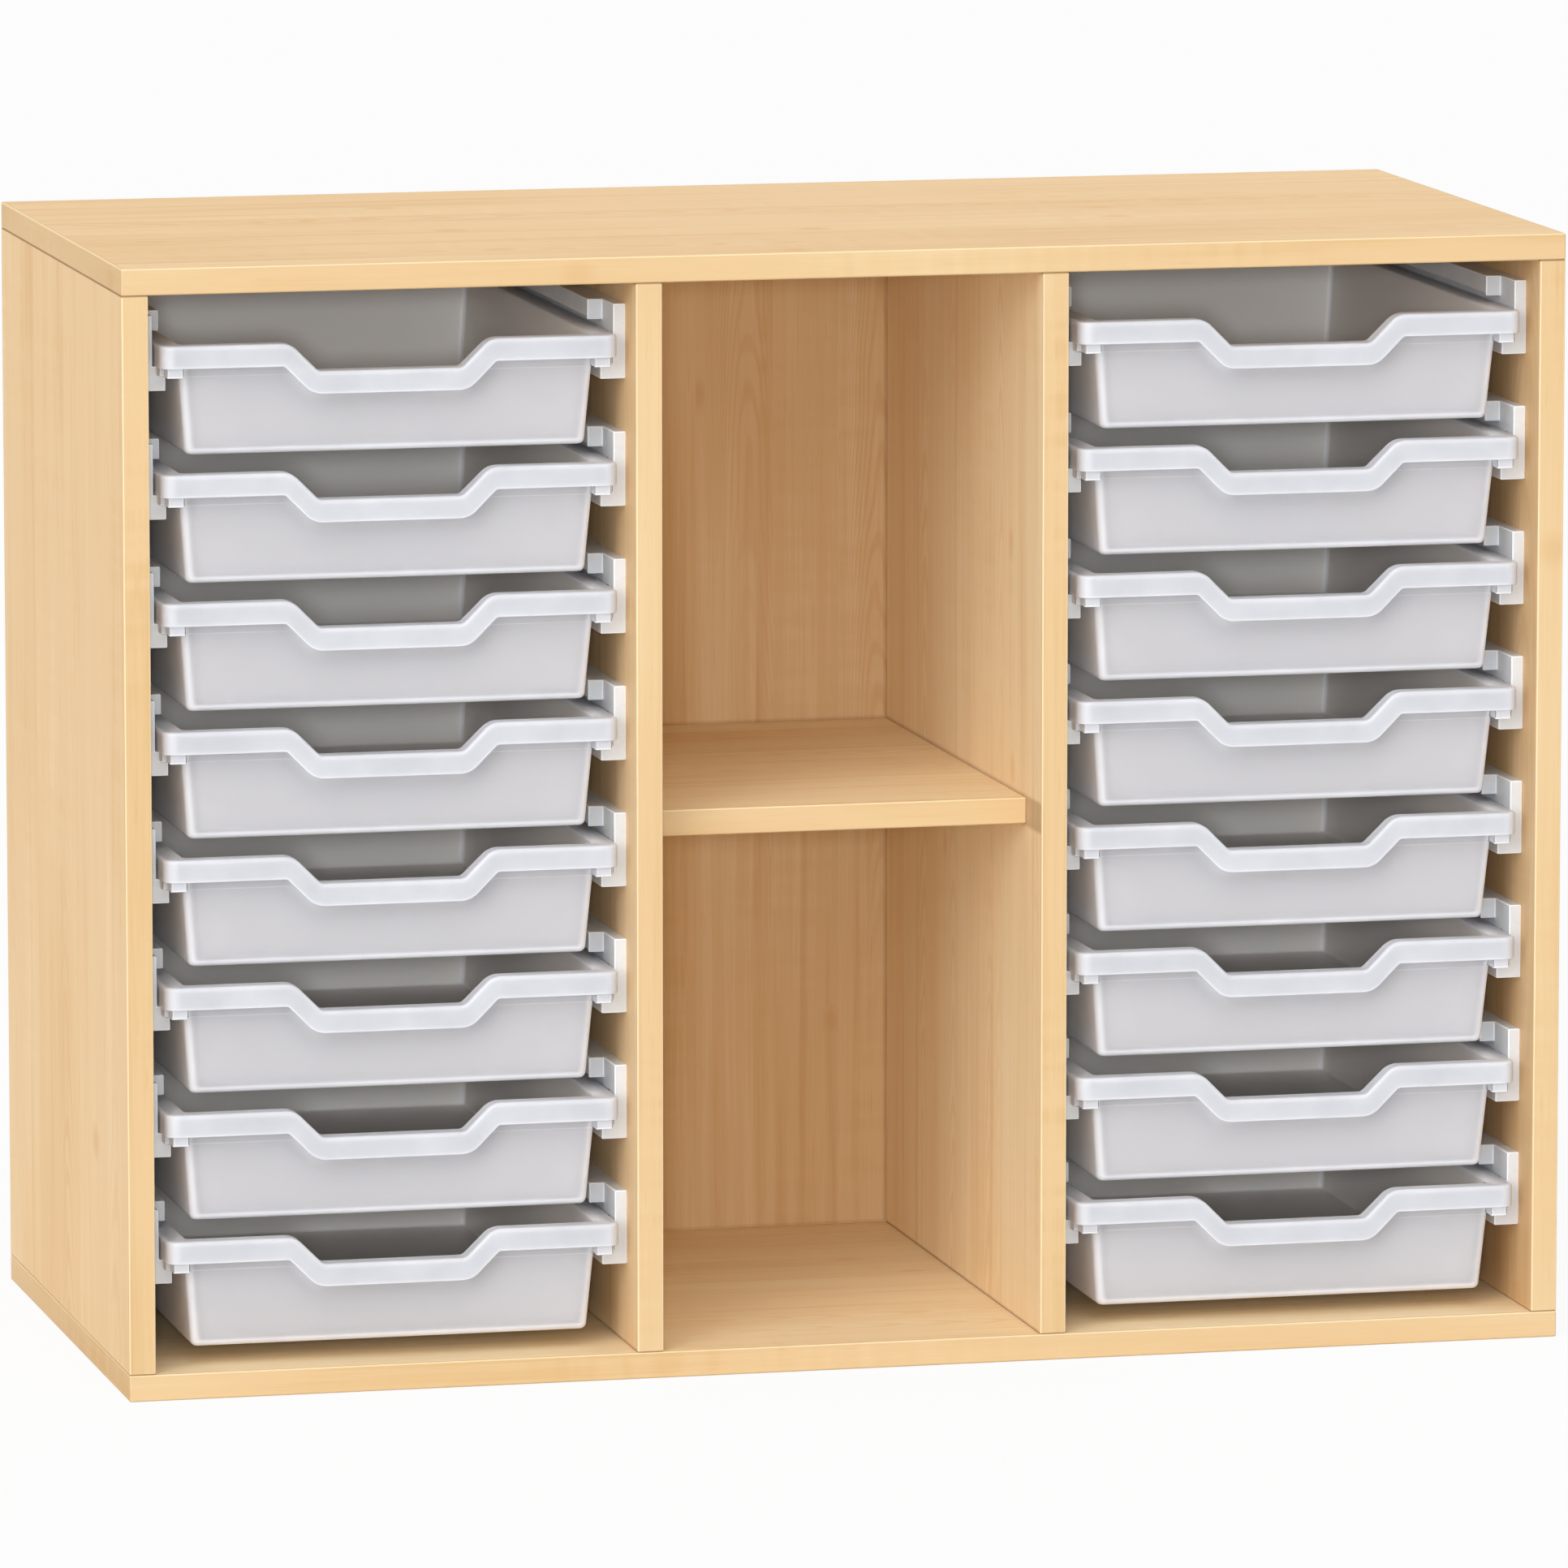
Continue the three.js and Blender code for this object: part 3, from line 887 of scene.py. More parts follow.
def one_way(axis: int, sign: int) -> Vector:
    """One step along an axis.

    Args:
        axis: The number of the axis.
        sign: 1 for a step forwards and -1 for a step back.

    Returns:
        The step.
    """
    way = Vector()
    way[axis] = sign
    return way


def third_axis(first: int, second: int) -> int:
    """The axis that is neither of two others."""
    return sum(axis.value for axis in Axis) - first - second


def is_eased(normal: Vector) -> bool:
    """Whether a facet is on a rounded arris, so square to none of the axes."""
    return max(normal, key=abs) ** 2 < SQUARE


@dataclass(frozen=True)
class Corner:
    """The line along which another board stands on a board's face.

    Attributes:
        axis: The axis across the line.
        way: The way out of the corner along that axis, -1 or 1.
        place: The line's place on that axis.
        face: The side of the board that it is on, -1 or 1.
    """

    axis: int
    way: int
    place: float
    face: int


@dataclass(frozen=True)
class Seam:
    """The line where an edging strip starts.

    Attributes:
        axis: The axis across the strip.
        sign: The way that the strip faces along that axis, -1 or 1.
        place: The line's place on that axis.
    """

    axis: int
    sign: int
    place: float


@dataclass(frozen=True)
class Board:
    """One foil-faced board with edging strips, in the place of its node.

    Attributes:
        node: The board's node.
        thickness: The axis through the board.
        grain: The axis along which the grain of its faces runs.
        edged: The edges that have an edging strip.
        sheet_place: Where the board is cut from the sheet of foil, in metres along and across the grain.
        spread: How much wider than on the sheet its figure is.
        meets: The boards that stand on its faces.
        low_foil: The foil of its left, front or lower face.
        high_foil: The foil of its right, rear or upper face.
        arris: The radius of its arrises.
        arris_steps: The number of facets on an arris.
        arris_highlight: The strength of the painted highlight on a free arris.
        under_shade: The strength of the painted shade on an arris underneath.
        joint_dark: How dark an arris in a joint is.
        corner_painted_shade: The strength of the painted shade on a face where another board stands on it.
        corner_width: How far from that board the painted shade ends.
        edging: The thickness of an edging strip.
        turned: The share of a normal from which an arris counts as turned to an axis.
    """

    node: str
    thickness: Axis
    grain: Axis
    edged: tuple[Edge, ...]
    sheet_place: tuple[float, float]
    spread: float = 1.0
    meets: tuple[str, ...] = ()
    low_foil: Foil = Foil.FACE
    high_foil: Foil = Foil.FACE
    arris: float = 0.9 * MM
    arris_steps: int = 3
    arris_highlight: float = 0.7
    under_shade: float = 0.2
    joint_dark: float = 0.6
    corner_painted_shade: float = 0.42
    corner_width: float = 3 * MM
    edging: float = 2.0 * MM
    turned: float = 0.2

    def build(self, materials: Sequence[bpy.types.Material]) -> bpy.types.Object:
        """Make the board.

        Args:
            materials: The foils, in the order of their kinds.

        Returns:
            The board.
        """
        low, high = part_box(self.node)
        shape = bmesh.new()
        size = Matrix.Diagonal((*(high - low), 1.0))
        bmesh.ops.create_cube(shape, size=1.0, matrix=Matrix.Translation((low + high) / 2) @ size)
        bmesh.ops.bevel(shape, geom=shape.edges[:], offset=self.arris, segments=self.arris_steps,
                        profile=ROUND, affect="EDGES")
        seams = []
        for edge in self.edged:
            axis, sign = edge.value
            out = one_way(axis.value, sign)
            start = (low if sign < 0 else high) - out * self.edging
            self.cut(shape, start, out)
            seams.append(Seam(axis.value, sign, start[axis.value]))
        corners = list(self.corners())
        # Cuts where the painted shade in the corners starts and ends.
        for corner in corners:
            out = one_way(corner.axis, corner.way)
            for distance in (0.0, self.corner_width):
                self.cut(shape, out * (corner.place * corner.way + distance), out)
        mesh = bpy.data.meshes.new(self.node)
        shape.to_mesh(mesh)
        shape.free()
        self.lay_grain(mesh, seams, corners)
        return finish_piece(f"{self.node}_board", mesh, materials, CABINET, [self.node])

    @staticmethod
    def cut(shape: bmesh.types.BMesh, start: Vector, out: Vector) -> None:
        """Cut the faces of a shape through along a plane.

        Args:
            shape: The shape.
            start: A point of the plane.
            out: The way that the plane faces.
        """
        whole = shape.verts[:] + shape.edges[:] + shape.faces[:]
        bmesh.ops.bisect_plane(shape, geom=whole, plane_co=start, plane_no=out)

    def corners(self) -> Iterator[Corner]:
        """The lines on the board's faces where the boards that it meets stand on it."""
        thick = self.thickness.value
        for name in self.meets:
            low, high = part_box(name)
            size = list(high - low)
            axis = size.index(min(size))
            for face, plane in zip(SIGNS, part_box(self.node)):
                far, near = (low, high) if face < 0 else (high, low)
                sticks_out = (far[thick] - plane[thick]) * face > MM
                touches = (near[thick] - plane[thick]) * face < MM
                if sticks_out and touches:
                    yield Corner(axis, -1, low[axis], face)
                    yield Corner(axis, 1, high[axis], face)

    def lay_grain(self, mesh: bpy.types.Mesh, seams: Sequence[Seam], corners: Sequence[Corner]) -> None:
        """Tell faces from edging, and write how the grain runs on each, the painted highlight, dark joints
        and painted shade of its arrises, and the painted shade where other boards stand on it.

        Args:
            mesh: The board's mesh.
            seams: The lines where the edging strips start.
            corners: The lines where other boards stand on this one.
        """
        thick = self.thickness.value
        # A new attribute can move the others, so they are looked up once both are there.
        mesh.attributes.new("grain", "FLOAT_VECTOR", "CORNER")
        mesh.attributes.new("arris", "FLOAT", "CORNER")
        grain = mesh.attributes["grain"]
        arris = mesh.attributes["arris"]
        for polygon in mesh.polygons:
            normal = [abs(value) for value in polygon.normal]
            on_strip = any((polygon.center[seam.axis] - seam.place) * seam.sign > 0 for seam in seams)
            is_face = normal[thick] > SQUARE and not on_strip
            side_foil = self.high_foil if polygon.normal[thick] > 0 else self.low_foil
            polygon.material_index = (side_foil if is_face else Foil.EDGING).value
            if is_face:
                along = self.grain.value
                across = third_axis(along, thick)
            else:
                normal[thick] = -1.0
                across = thick
                along = third_axis(thick, normal.index(max(normal)))
            through = third_axis(along, across)
            tone = self.arris_light_and_shade(polygon.normal)
            shading = [corner for corner in corners if is_face and corner.face * polygon.normal[thick] > 0]
            for loop in polygon.loop_indices:
                point = mesh.vertices[mesh.loops[loop].vertex_index].co
                # The arris value is the arris's painted highlight, dark joint tone and painted shade, less
                # the painted shade in corners where other boards stand.
                arris.data[loop].value = tone - self.corner_shade(point, shading)
                grain.data[loop].vector = (point[along] + self.sheet_place[0],
                                           point[across] / self.spread + self.sheet_place[1],
                                           point[through])
            polygon.use_smooth = is_eased(polygon.normal)

    def corner_shade(self, point: Vector, corners: Sequence[Corner]) -> float:
        """How much painted shade a point of a face has in the corner with another board.

        Args:
            point: The point.
            corners: The lines where other boards stand on the same face.

        Returns:
            The share of the seam colour painted there as shade, most at the line itself.
        """
        near = min((abs(point[corner.axis] - corner.place) for corner in corners), default=self.corner_width)
        return self.corner_painted_shade * max(0.0, 1.0 - near / self.corner_width)

    def arris_light_and_shade(self, normal: Vector) -> float:
        """The painted highlight on a facet of an arris, its dark joint tone, and its painted shade.

        Args:
            normal: The facet's normal.

        Returns:
            Above 0 for a painted highlight where the arris is free and turned to the light, below 0 for the
            dark tone of a joint and for painted shade underneath.
        """
        if not is_eased(normal):
            return 0.0
        if self.thickness is Axis.HEIGHT:
            if normal.z > self.turned:
                return self.arris_highlight
            return -self.under_shade if normal.z < -self.turned else 0.0
        if self.thickness is Axis.DEPTH:
            return 0.0
        if abs(normal.z) > self.turned:
            return -self.joint_dark
        is_front = abs(normal.x) > self.turned and normal.y < -self.turned
        return self.arris_highlight if is_front else 0.0


class Carcass:
    """The boards of the unit and the dowels that carry its shelf."""

    LYING = ("top_panel", "bottom_panel", "centre_shelf")
    STANDING = ("left_side", "right_side", "left_divider", "right_divider")
    # The faces inside the bay take the paler foil, which is painted light; the back panel and the right
    # side's inner face take the deeper foil, which is painted shade.
    BOARDS = (
        Board("top_panel", Axis.HEIGHT, Axis.WIDTH, tuple(Edge), sheet_place=(0.3, 1.31), spread=1.6),
        Board("bottom_panel", Axis.HEIGHT, Axis.WIDTH, tuple(Edge), sheet_place=(2.9, 4.07),
              high_foil=Foil.LIT_BY_PAINT),
        Board("left_side", Axis.WIDTH, Axis.HEIGHT, (Edge.FRONT, Edge.REAR), sheet_place=(5.2, 0.63),
              spread=2.4),
        Board("right_side", Axis.WIDTH, Axis.HEIGHT, (Edge.FRONT, Edge.REAR), sheet_place=(7.7, 2.45),
              spread=2.4, low_foil=Foil.SHADED_BY_PAINT),
        Board("left_divider", Axis.WIDTH, Axis.HEIGHT, (Edge.FRONT,), sheet_place=(9.4, 3.37), spread=1.3,
              meets=LYING, high_foil=Foil.LIT_BY_PAINT),
        Board("right_divider", Axis.WIDTH, Axis.HEIGHT, (Edge.FRONT,), sheet_place=(12.1, 5.59), spread=1.3,
              meets=LYING, low_foil=Foil.LIT_BY_PAINT),
        Board("back_panel", Axis.DEPTH, Axis.HEIGHT, (), sheet_place=(14.6, 7.03), meets=LYING + STANDING,
              low_foil=Foil.SHADED_BY_PAINT, high_foil=Foil.SHADED_BY_PAINT),
        Board("centre_shelf", Axis.HEIGHT, Axis.WIDTH, (Edge.FRONT,), sheet_place=(16.8, 6.21),
              low_foil=Foil.LIT_BY_PAINT, high_foil=Foil.LIT_BY_PAINT),
    )

    def build(self) -> None:
        """Make the boards, and give the dowels their finish."""
        foils = [finish.material() for finish in (FACE_FOIL, EDGE_FOIL, PAINTED_LIGHT_FOIL, PAINTED_SHADE_FOIL)]
        for board in self.BOARDS:
            board.build(foils)
        beech = BEECH.material()
        for name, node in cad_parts.items():
            if name.startswith("shelf_dowel"):
                node.material_slots[0].material = beech


@dataclass(frozen=True)
class Line:
    """One closed line round the tray, as a step along its section.

    Attributes:
        level: Height over the rim's top, so mostly below 0.
        inset: How far inside the rim's outer face the line is, or inside the tub's outer wall.
        on_tub: True if the inset is counted from the tub's wall.
        dip: Share of the finger dip that the line follows at the front.
        glow: How much painted highlight the line has, from 0 to 1.
    """

    level: float
    inset: float
    on_tub: bool = False
    dip: float = 0.0
    glow: float = 0.0


@dataclass(frozen=True)
class TrayHighlights:
    """How much painted highlight each part of a tray has, from 0 to 1, which draws the white lines along its
    edges and paints light into the shade under the rim and on the tub's outer sides.

    Attributes:
        floor_edge: The rounding between the inner floor and walls.
        lip: The rounding at the tub's inner edge.
        flange: The flat top of the rim.
        rim_round: The rounding at the rim's outer edge.
        band_head: The top of the band round the rim.
        band: The band round the rim.
        band_foot: The bottom of the band.
        skirt: The outer half of the skirt's lower edge.
        skirt_inside: The inner half of the skirt's lower edge.
        step_head: Just above the step round the tub.
        step: The step round the tub.
        step_foot: Just below the step.
        base_start: Where the walls start to pale towards the base.
        base_rise: A little above the base's rounding.
        base_head: Just above the base's rounding.
        base: The rounding between walls and base.
        underside: The base.
        inner_corner: The inner corners of the tub.
        outer_corner: The outer corners of the tub.
        rim_corner: The corners of the rim.
        corner_ends: The share of a corner's glow that is left at its ends.
        corner_power: How fast an inner corner's glow falls off towards its ends.
        sides: Painted light on the tub's outer sides, at places counted from the front corner.
        front_ends: The ends of the tub's front.
        under_rim: Painted light on the tub's front just under the rim, in the rim's shadow.
        under_reach: How far below the rim that painted light ends.
        lug_edge: The edges of the lugs.
        lug_face: The faces of the lugs.
    """

    floor_edge: float = 0.15
    lip: float = 0.75
    flange: float = 0.45
    rim_round: float = 0.55
    band_head: float = 0.56
    band: float = 0.49
    band_foot: float = 0.57
    skirt: float = 0.7
    skirt_inside: float = 0.5
    step_head: float = 0.1
    step: float = 0.45
    step_foot: float = 0.05
    base_start: float = 0.05
    base_rise: float = 0.25
    base_head: float = 0.5
    base: float = 0.65
    underside: float = 0.8
    inner_corner: float = 0.9
    outer_corner: float = 0.75
    rim_corner: float = 0.58
    corner_ends: float = 0.45
    corner_power: int = 4
    sides: tuple[tuple[float, float], ...] = ((2 * MM, 0.95), (60 * MM, 0.9), (200 * MM, 0.7))
    front_ends: float = 0.2
    under_rim: float = 0.45
    under_reach: float = 10 * MM
    lug_edge: float = 0.9
    lug_face: float = 0.6


def quarter_arc(steps: int) -> Iterator[tuple[float, float]]:
    """Sine and cosine from 0 to a right angle.

    Args:
        steps: The number of steps on the way.

    Yields:
        The sine and the cosine of each angle.
    """
    for step in range(steps + 1):
        angle = step / steps * math.pi / 2
        yield math.sin(angle), math.cos(angle)


@dataclass(frozen=True)
class Tray:
    """The shallow tray: a drafted tub under a rolled rim with a finger dip and two stop lugs.

    Attributes:
        width: The width over the rim.
        length: The length over the rim.
        height: The height from the base to the rim's top.
        wall: The thickness of walls, floor and rim.
        draft: How far the tub's walls lean in for each metre of depth.
        tub_corner: The radius of the tub's upright corners.
        base_round: The radius between walls and base, outside.
        rim_drop: How far the skirt hangs below the rim's top.
        side_flange: How far the rim reaches out at the sides.
        front_flange: How far the rim reaches out at the front and rear.
        rim_corner: The radius of the rim's corners.
        least_corner: The least radius of any corner.
        rim_round: The radius along the rim's outer edge.
        lip_round: The radius along the tub's inner edge.
        skirt_round: The radius along the skirt's lower edge.
        web_round: The radius in the corners under the rim.
        waist: The level of the line half-way down the walls.
        hold: The distance at which a line keeps a rounding crisp.
        inner_hold: The rise of the first line above the inner floor, in radii of its rounding.
        base_rise: The rise of the line where the walls start to pale, in radii of the base's rounding.
        base_reach: How far inside the wall the last line of the base is, in the same radii.
        dip_half: Half the flat length of the finger dip.
        dip_depth: The depth of the finger dip.
        dip_spread: How much further out the dip is at the skirt's lower edge.
        shoulder_round: The radius of the dip's shoulders at the rim's top.
        floor_round: The radius at the foot of its slopes at the rim's top.
        belly_round: The radius at the foot of its slopes at the skirt's lower edge.
        step_dip: The share of the dip that the step round the tub follows.
        step_out: How far the step stands out.
        wall_shares: Places of the lines between the step and the waist, as shares of the way.
        lug_drop: How far the lugs hang below the skirt.
        lug_thickness: The thickness of a stop lug.
        lug_inset: How far a stop lug is inside the rim's side.
        lug_back: How far behind the rim's front a lug ends.
        lug_round: The radius of a lug's edges.
        nose_front: How far behind the rim's front a lug's nose starts.
        nose_inset: How far a lug's nose is inside the rim's side.
        corner_steps: The number of steps round a corner.
        round_steps: The number of steps over a large rounding.
        lip_steps: The number of steps over a middling rounding.
        small_steps: The number of steps over a small rounding.
        dip_pitch: The distance between points along the dip.
        corner_hold: The distance at which a line keeps a corner crisp.
        glow: How much painted highlight each part has.
    """

    width: float = 312 * MM
    length: float = 427 * MM
    height: float = 75 * MM
    wall: float = 2 * MM
    draft: float = math.tan(math.radians(4.8))
    tub_corner: float = 5.5 * MM
    base_round: float = 3.5 * MM
    rim_drop: float = 15.3 * MM
    side_flange: float = 13.2 * MM
    front_flange: float = 11.5 * MM
    rim_corner: float = 9 * MM
    least_corner: float = 1.5 * MM
    rim_round: float = 1.9 * MM
    lip_round: float = 1.2 * MM
    skirt_round: float = 0.7 * MM
    web_round: float = 1.0 * MM
    waist: float = -39.75 * MM
    hold: float = 0.6 * MM
    inner_hold: float = 3.0
    base_rise: float = 2.6
    base_reach: float = 2.0
    dip_half: float = 49 * MM
    dip_depth: float = 19 * MM
    dip_spread: float = 4.3 * MM
    shoulder_round: float = 15 * MM
    floor_round: float = 5.5 * MM
    belly_round: float = 16 * MM
    step_dip: float = 0.1
    step_out: float = 0.4 * MM
    wall_shares: tuple[float, ...] = (0.2, 0.45, 0.7)
    lug_drop: float = 6.5 * MM
    lug_thickness: float = 9 * MM
    lug_inset: float = 1 * MM
    lug_back: float = 23.7 * MM
    lug_round: float = 0.8 * MM
    nose_front: float = 3.5 * MM
    nose_inset: float = 4.5 * MM
    corner_steps: int = 8
    round_steps: int = 4
    lip_steps: int = 3
    small_steps: int = 2
    dip_pitch: float = 1.3 * MM
    corner_hold: float = 2 * MM
    glow: TrayHighlights = TrayHighlights()

    def section(self) -> list[Line]:
        """The lines of the tray from its inner floor, over its rim and down to its underside."""
        return [*self.inner_lines(), *self.rim_lines(), *self.web_lines(), *self.outer_lines()]

    def inner_lines(self) -> Iterator[Line]:
        """The lines from the inner floor up to the tub's inner edge."""
        inner_round = self.base_round - self.wall
        floor = self.wall - self.height
        for sine, cosine in quarter_arc(self.lip_steps):
            yield Line(floor + inner_round * (1 - cosine), self.wall + inner_round * (1 - sine),
                       on_tub=True, glow=self.glow.floor_edge)
        yield Line(floor + self.inner_hold * inner_round, self.wall, on_tub=True)
        yield Line(self.waist, self.wall, on_tub=True)
        yield Line(-self.lip_round - 4 * self.hold, self.wall, on_tub=True, dip=1)
        for sine, cosine in quarter_arc(self.lip_steps):
            yield Line(-self.lip_round * (1 - sine), self.wall - self.lip_round * (1 - cosine),
                       on_tub=True, dip=1, glow=self.glow.lip)

    def rim_lines(self) -> Iterator[Line]:
        """The lines over the rim's flat top and down its band to the skirt's lower edge."""
        yield Line(0, self.rim_round + 4 * self.hold, dip=1, glow=self.glow.flange)
        yield Line(0, self.rim_round + self.hold, dip=1, glow=self.glow.flange)
        for sine, cosine in quarter_arc(self.round_steps):
            yield Line(-self.rim_round * (1 - cosine), self.rim_round * (1 - sine), dip=1,
                       glow=self.glow.rim_round)
        yield Line(-self.rim_round - self.hold, 0, dip=1, glow=self.glow.band_head)
        yield Line(-self.rim_round - 3 * self.hold, 0, dip=1, glow=self.glow.band)
        yield Line(-self.rim_drop + self.skirt_round + 3 * self.hold, 0, dip=1, glow=self.glow.band)
        yield Line(-self.rim_drop + self.skirt_round + self.hold, 0, dip=1, glow=self.glow.band_foot)
        for sine, cosine in quarter_arc(self.small_steps):
            yield Line(-self.rim_drop + self.skirt_round * (1 - sine), self.skirt_round * (1 - cosine), dip=1,
                       glow=self.glow.skirt)
        for sine, cosine in quarter_arc(self.small_steps):
            yield Line(-self.rim_drop + self.skirt_round * (1 - cosine),
                       self.wall - self.skirt_round * (1 - sine), dip=1, glow=self.glow.skirt_inside)

    def web_lines(self) -> Iterator[Line]:
        """The lines up the skirt's inner face and along the underside of the rim to the tub."""
        yield Line(-self.wall - self.web_round - self.hold, self.wall, dip=1)
        for sine, cosine in quarter_arc(self.small_steps):
            yield Line(-self.wall - self.web_round * (1 - sine),
                       self.wall + self.web_round * (1 - cosine), dip=1)
        for sine, cosine in quarter_arc(self.small_steps):
            yield Line(-self.wall - self.web_round * (1 - cosine),
                       self.step_out - self.web_round * (1 - sine), on_tub=True, dip=1)
        yield Line(-self.wall - self.web_round - self.hold, self.step_out, on_tub=True, dip=1)

    def outer_lines(self) -> Iterator[Line]:
        """The lines down the tub's outer wall, over its step, and round its base."""
        step = -self.rim_drop - self.lug_drop
        yield Line(step + self.hold, self.step_out, on_tub=True, dip=self.step_dip)
        yield Line(step + self.step_out, self.step_out, on_tub=True, dip=self.step_dip,
                   glow=self.glow.step_head)
        yield Line(step, 0, on_tub=True, dip=self.step_dip, glow=self.glow.step)
        yield Line(step - self.hold, 0, on_tub=True, dip=self.step_dip, glow=self.glow.step_foot)
        for share in self.wall_shares:
            yield Line(step - self.hold + (self.waist - step + self.hold) * share, 0, on_tub=True)
        yield Line(self.waist, 0, on_tub=True)
        yield Line(self.waist - self.glow.under_reach / 2, 0, on_tub=True)
        yield Line(-self.height + self.base_rise * self.base_round, 0, on_tub=True, glow=self.glow.base_start)
        yield Line(-self.height + self.base_round + 3 * self.hold, 0, on_tub=True, glow=self.glow.base_rise)
        yield Line(-self.height + self.base_round + self.hold, 0, on_tub=True, glow=self.glow.base_head)
        for sine, cosine in quarter_arc(self.round_steps):
            yield Line(-self.height + self.base_round * (1 - sine), self.base_round * (1 - cosine),
                       on_tub=True, glow=self.glow.base)
        yield Line(-self.height, self.base_reach * self.base_round, on_tub=True, glow=self.glow.underside)

    def dip_at(self, x: float, skirt_share: float) -> float:
        """How far the front rim dips.

        Args:
            x: Place along the front, from its middle.
            skirt_share: 0 at the rim's top edge and 1 at the skirt's lower edge.

        Returns:
            The drop there.
        """
        shoulder = self.shoulder_round * (1 - skirt_share) + self.skirt_round * skirt_share
        floor = self.floor_round * (1 - skirt_share) + self.belly_round * skirt_share
        # A rounding between a level and a slope of 45 degrees starts this many radii from their corner.
        reach = math.tan(math.pi / 8)
        from_foot = abs(x) - self.dip_half - self.dip_spread * skirt_share
        from_head = from_foot - self.dip_depth
        if from_head >= reach * shoulder:
            return 0.0
        if from_head > reach * shoulder * -math.sqrt(0.5):
            run = reach * shoulder - from_head
            return shoulder - math.sqrt(shoulder ** 2 - run ** 2)
        if from_foot <= -reach * floor:
            return self.dip_depth
        if from_foot < reach * floor * math.sqrt(0.5):
            run = from_foot + reach * floor
            return self.dip_depth - floor + math.sqrt(floor ** 2 - run ** 2)
        return -from_head

    def front_places(self) -> list[float]:
        """Places along the front edge that follow the dip, from left to right."""
        outer = self.dip_half + self.dip_depth + self.dip_spread + self.shoulder_round
        inner = self.dip_half - self.belly_round
        count = math.ceil((outer - inner) / self.dip_pitch)
        right = [inner + (outer - inner) * step / count for step in range(count + 1)]
        return [-x for x in reversed(right)] + [-inner / 3, inner / 3] + right

    def is_inside(self, line: Line) -> bool:
        """Whether a line takes the inside's painted light, as inner walls, the floor and the flat base do."""
        return line.on_tub and line.inset > self.wall - self.lip_round / 2

    def half_sizes(self, line: Line, level: float) -> tuple[float, float]:
        """Half the width and half the length of a line.

        Args:
            line: The line.
            level: The level at which it is measured, because the tub narrows towards its base.

        Returns:
            Half the width and half the length.
        """
        if not line.on_tub:
            return self.width / 2 - line.inset, self.length / 2 - line.inset
        taken = line.inset - level * self.draft
        return self.width / 2 - self.side_flange - taken, self.length / 2 - self.front_flange - taken

    def ring(self, line: Line) -> list[tuple[Vector, float]]:
        """The points of a line, anticlockwise from above, each with its painted highlight.

        Args:
            line: The line to follow.

        Returns:
            Points and their painted highlight.
        """
        half_x, half_y = self.half_sizes(line, line.level)
        corner = self.tub_corner if line.on_tub else self.rim_corner
        radius = max(corner, line.inset + self.least_corner) - line.inset
        straight_x = half_x - radius
        straight_y = half_y - radius
        inside = self.is_inside(line)
        outside = line.on_tub and not inside
        points = self.front_run(line, straight_x - self.corner_hold)

        def add(x: float, y: float, glow: float) -> None:
            """Add a point of the line at its own level.

            Args:
                x: Its place across the tray.
                y: Its place along the tray.
                glow: Its painted highlight.
            """
            points.append((Vector((x, y, line.level)), glow))

        def add_side(hand: int) -> None:
            """Add the points of one side, which have painted light towards the front outside.

            Args:
                hand: 1 for the right side, from front to rear, and -1 for the left side, from rear to front.
            """
            places = [(-straight_y + back, max(line.glow, glow if outside else 0.0))
                      for back, glow in self.glow.sides]
            places.append((straight_y - self.corner_hold, line.glow))
            for y, glow in places[::hand]:
                add(hand * half_x, y, glow)

        quarters = ((1, -1), (1, 1), (-1, 1), (-1, -1))
        for quarter, (sign_x, sign_y) in enumerate(quarters):
            for sine, cosine in quarter_arc(self.corner_steps):
                turn_x, turn_y = ((sine, -cosine), (cosine, sine), (-sine, cosine), (-cosine, -sine))[quarter]
                glow = self.corner_highlight(line, 2 * sine * cosine, sign_y < 0 and abs(turn_x) > abs(turn_y))
                add(sign_x * straight_x + radius * turn_x, sign_y * straight_y + radius * turn_y, glow)
            if quarter == 0:
                add_side(1)
            elif quarter == 1:
                for end in (1, -1):
                    add(end * (straight_x - self.corner_hold), half_y, line.glow)
            elif quarter == 2:
                add_side(-1)
        return points

    def front_run(self, line: Line, end: float) -> list[tuple[Vector, float]]:
        """The points of a line along the front, from left to right, with their painted highlight.

        Args:
            line: The line to follow.
            end: How far from the middle its first and last points are.

        Returns:
            Points and their painted highlight.
        """
        outside = line.on_tub and not self.is_inside(line)
        end_highlight = max(line.glow, self.glow.front_ends if outside else 0.0)
        front = -self.half_sizes(line, line.level)[1]
        skirt_share = 0.0 if line.on_tub else min(1.0, -line.level / self.rim_drop)
        points = [(Vector((-end, front, line.level)), end_highlight)]
        for x in self.front_places():
            level = line.level - line.dip * self.dip_at(x, skirt_share)
            glow = line.glow
            # Painted light on the tub's front just under the rim, where the rim's shadow falls.
            if outside:
                below = -self.rim_drop - self.dip_at(x, 1.0) - level
                share = min(1.0, max(0.0, 1.0 - below / self.glow.under_reach))
                glow = max(glow, self.glow.under_rim * share)
            points.append((Vector((x, -self.half_sizes(line, level)[1], level)), glow))
        points.append((Vector((end, front, line.level)), end_highlight))
        return points

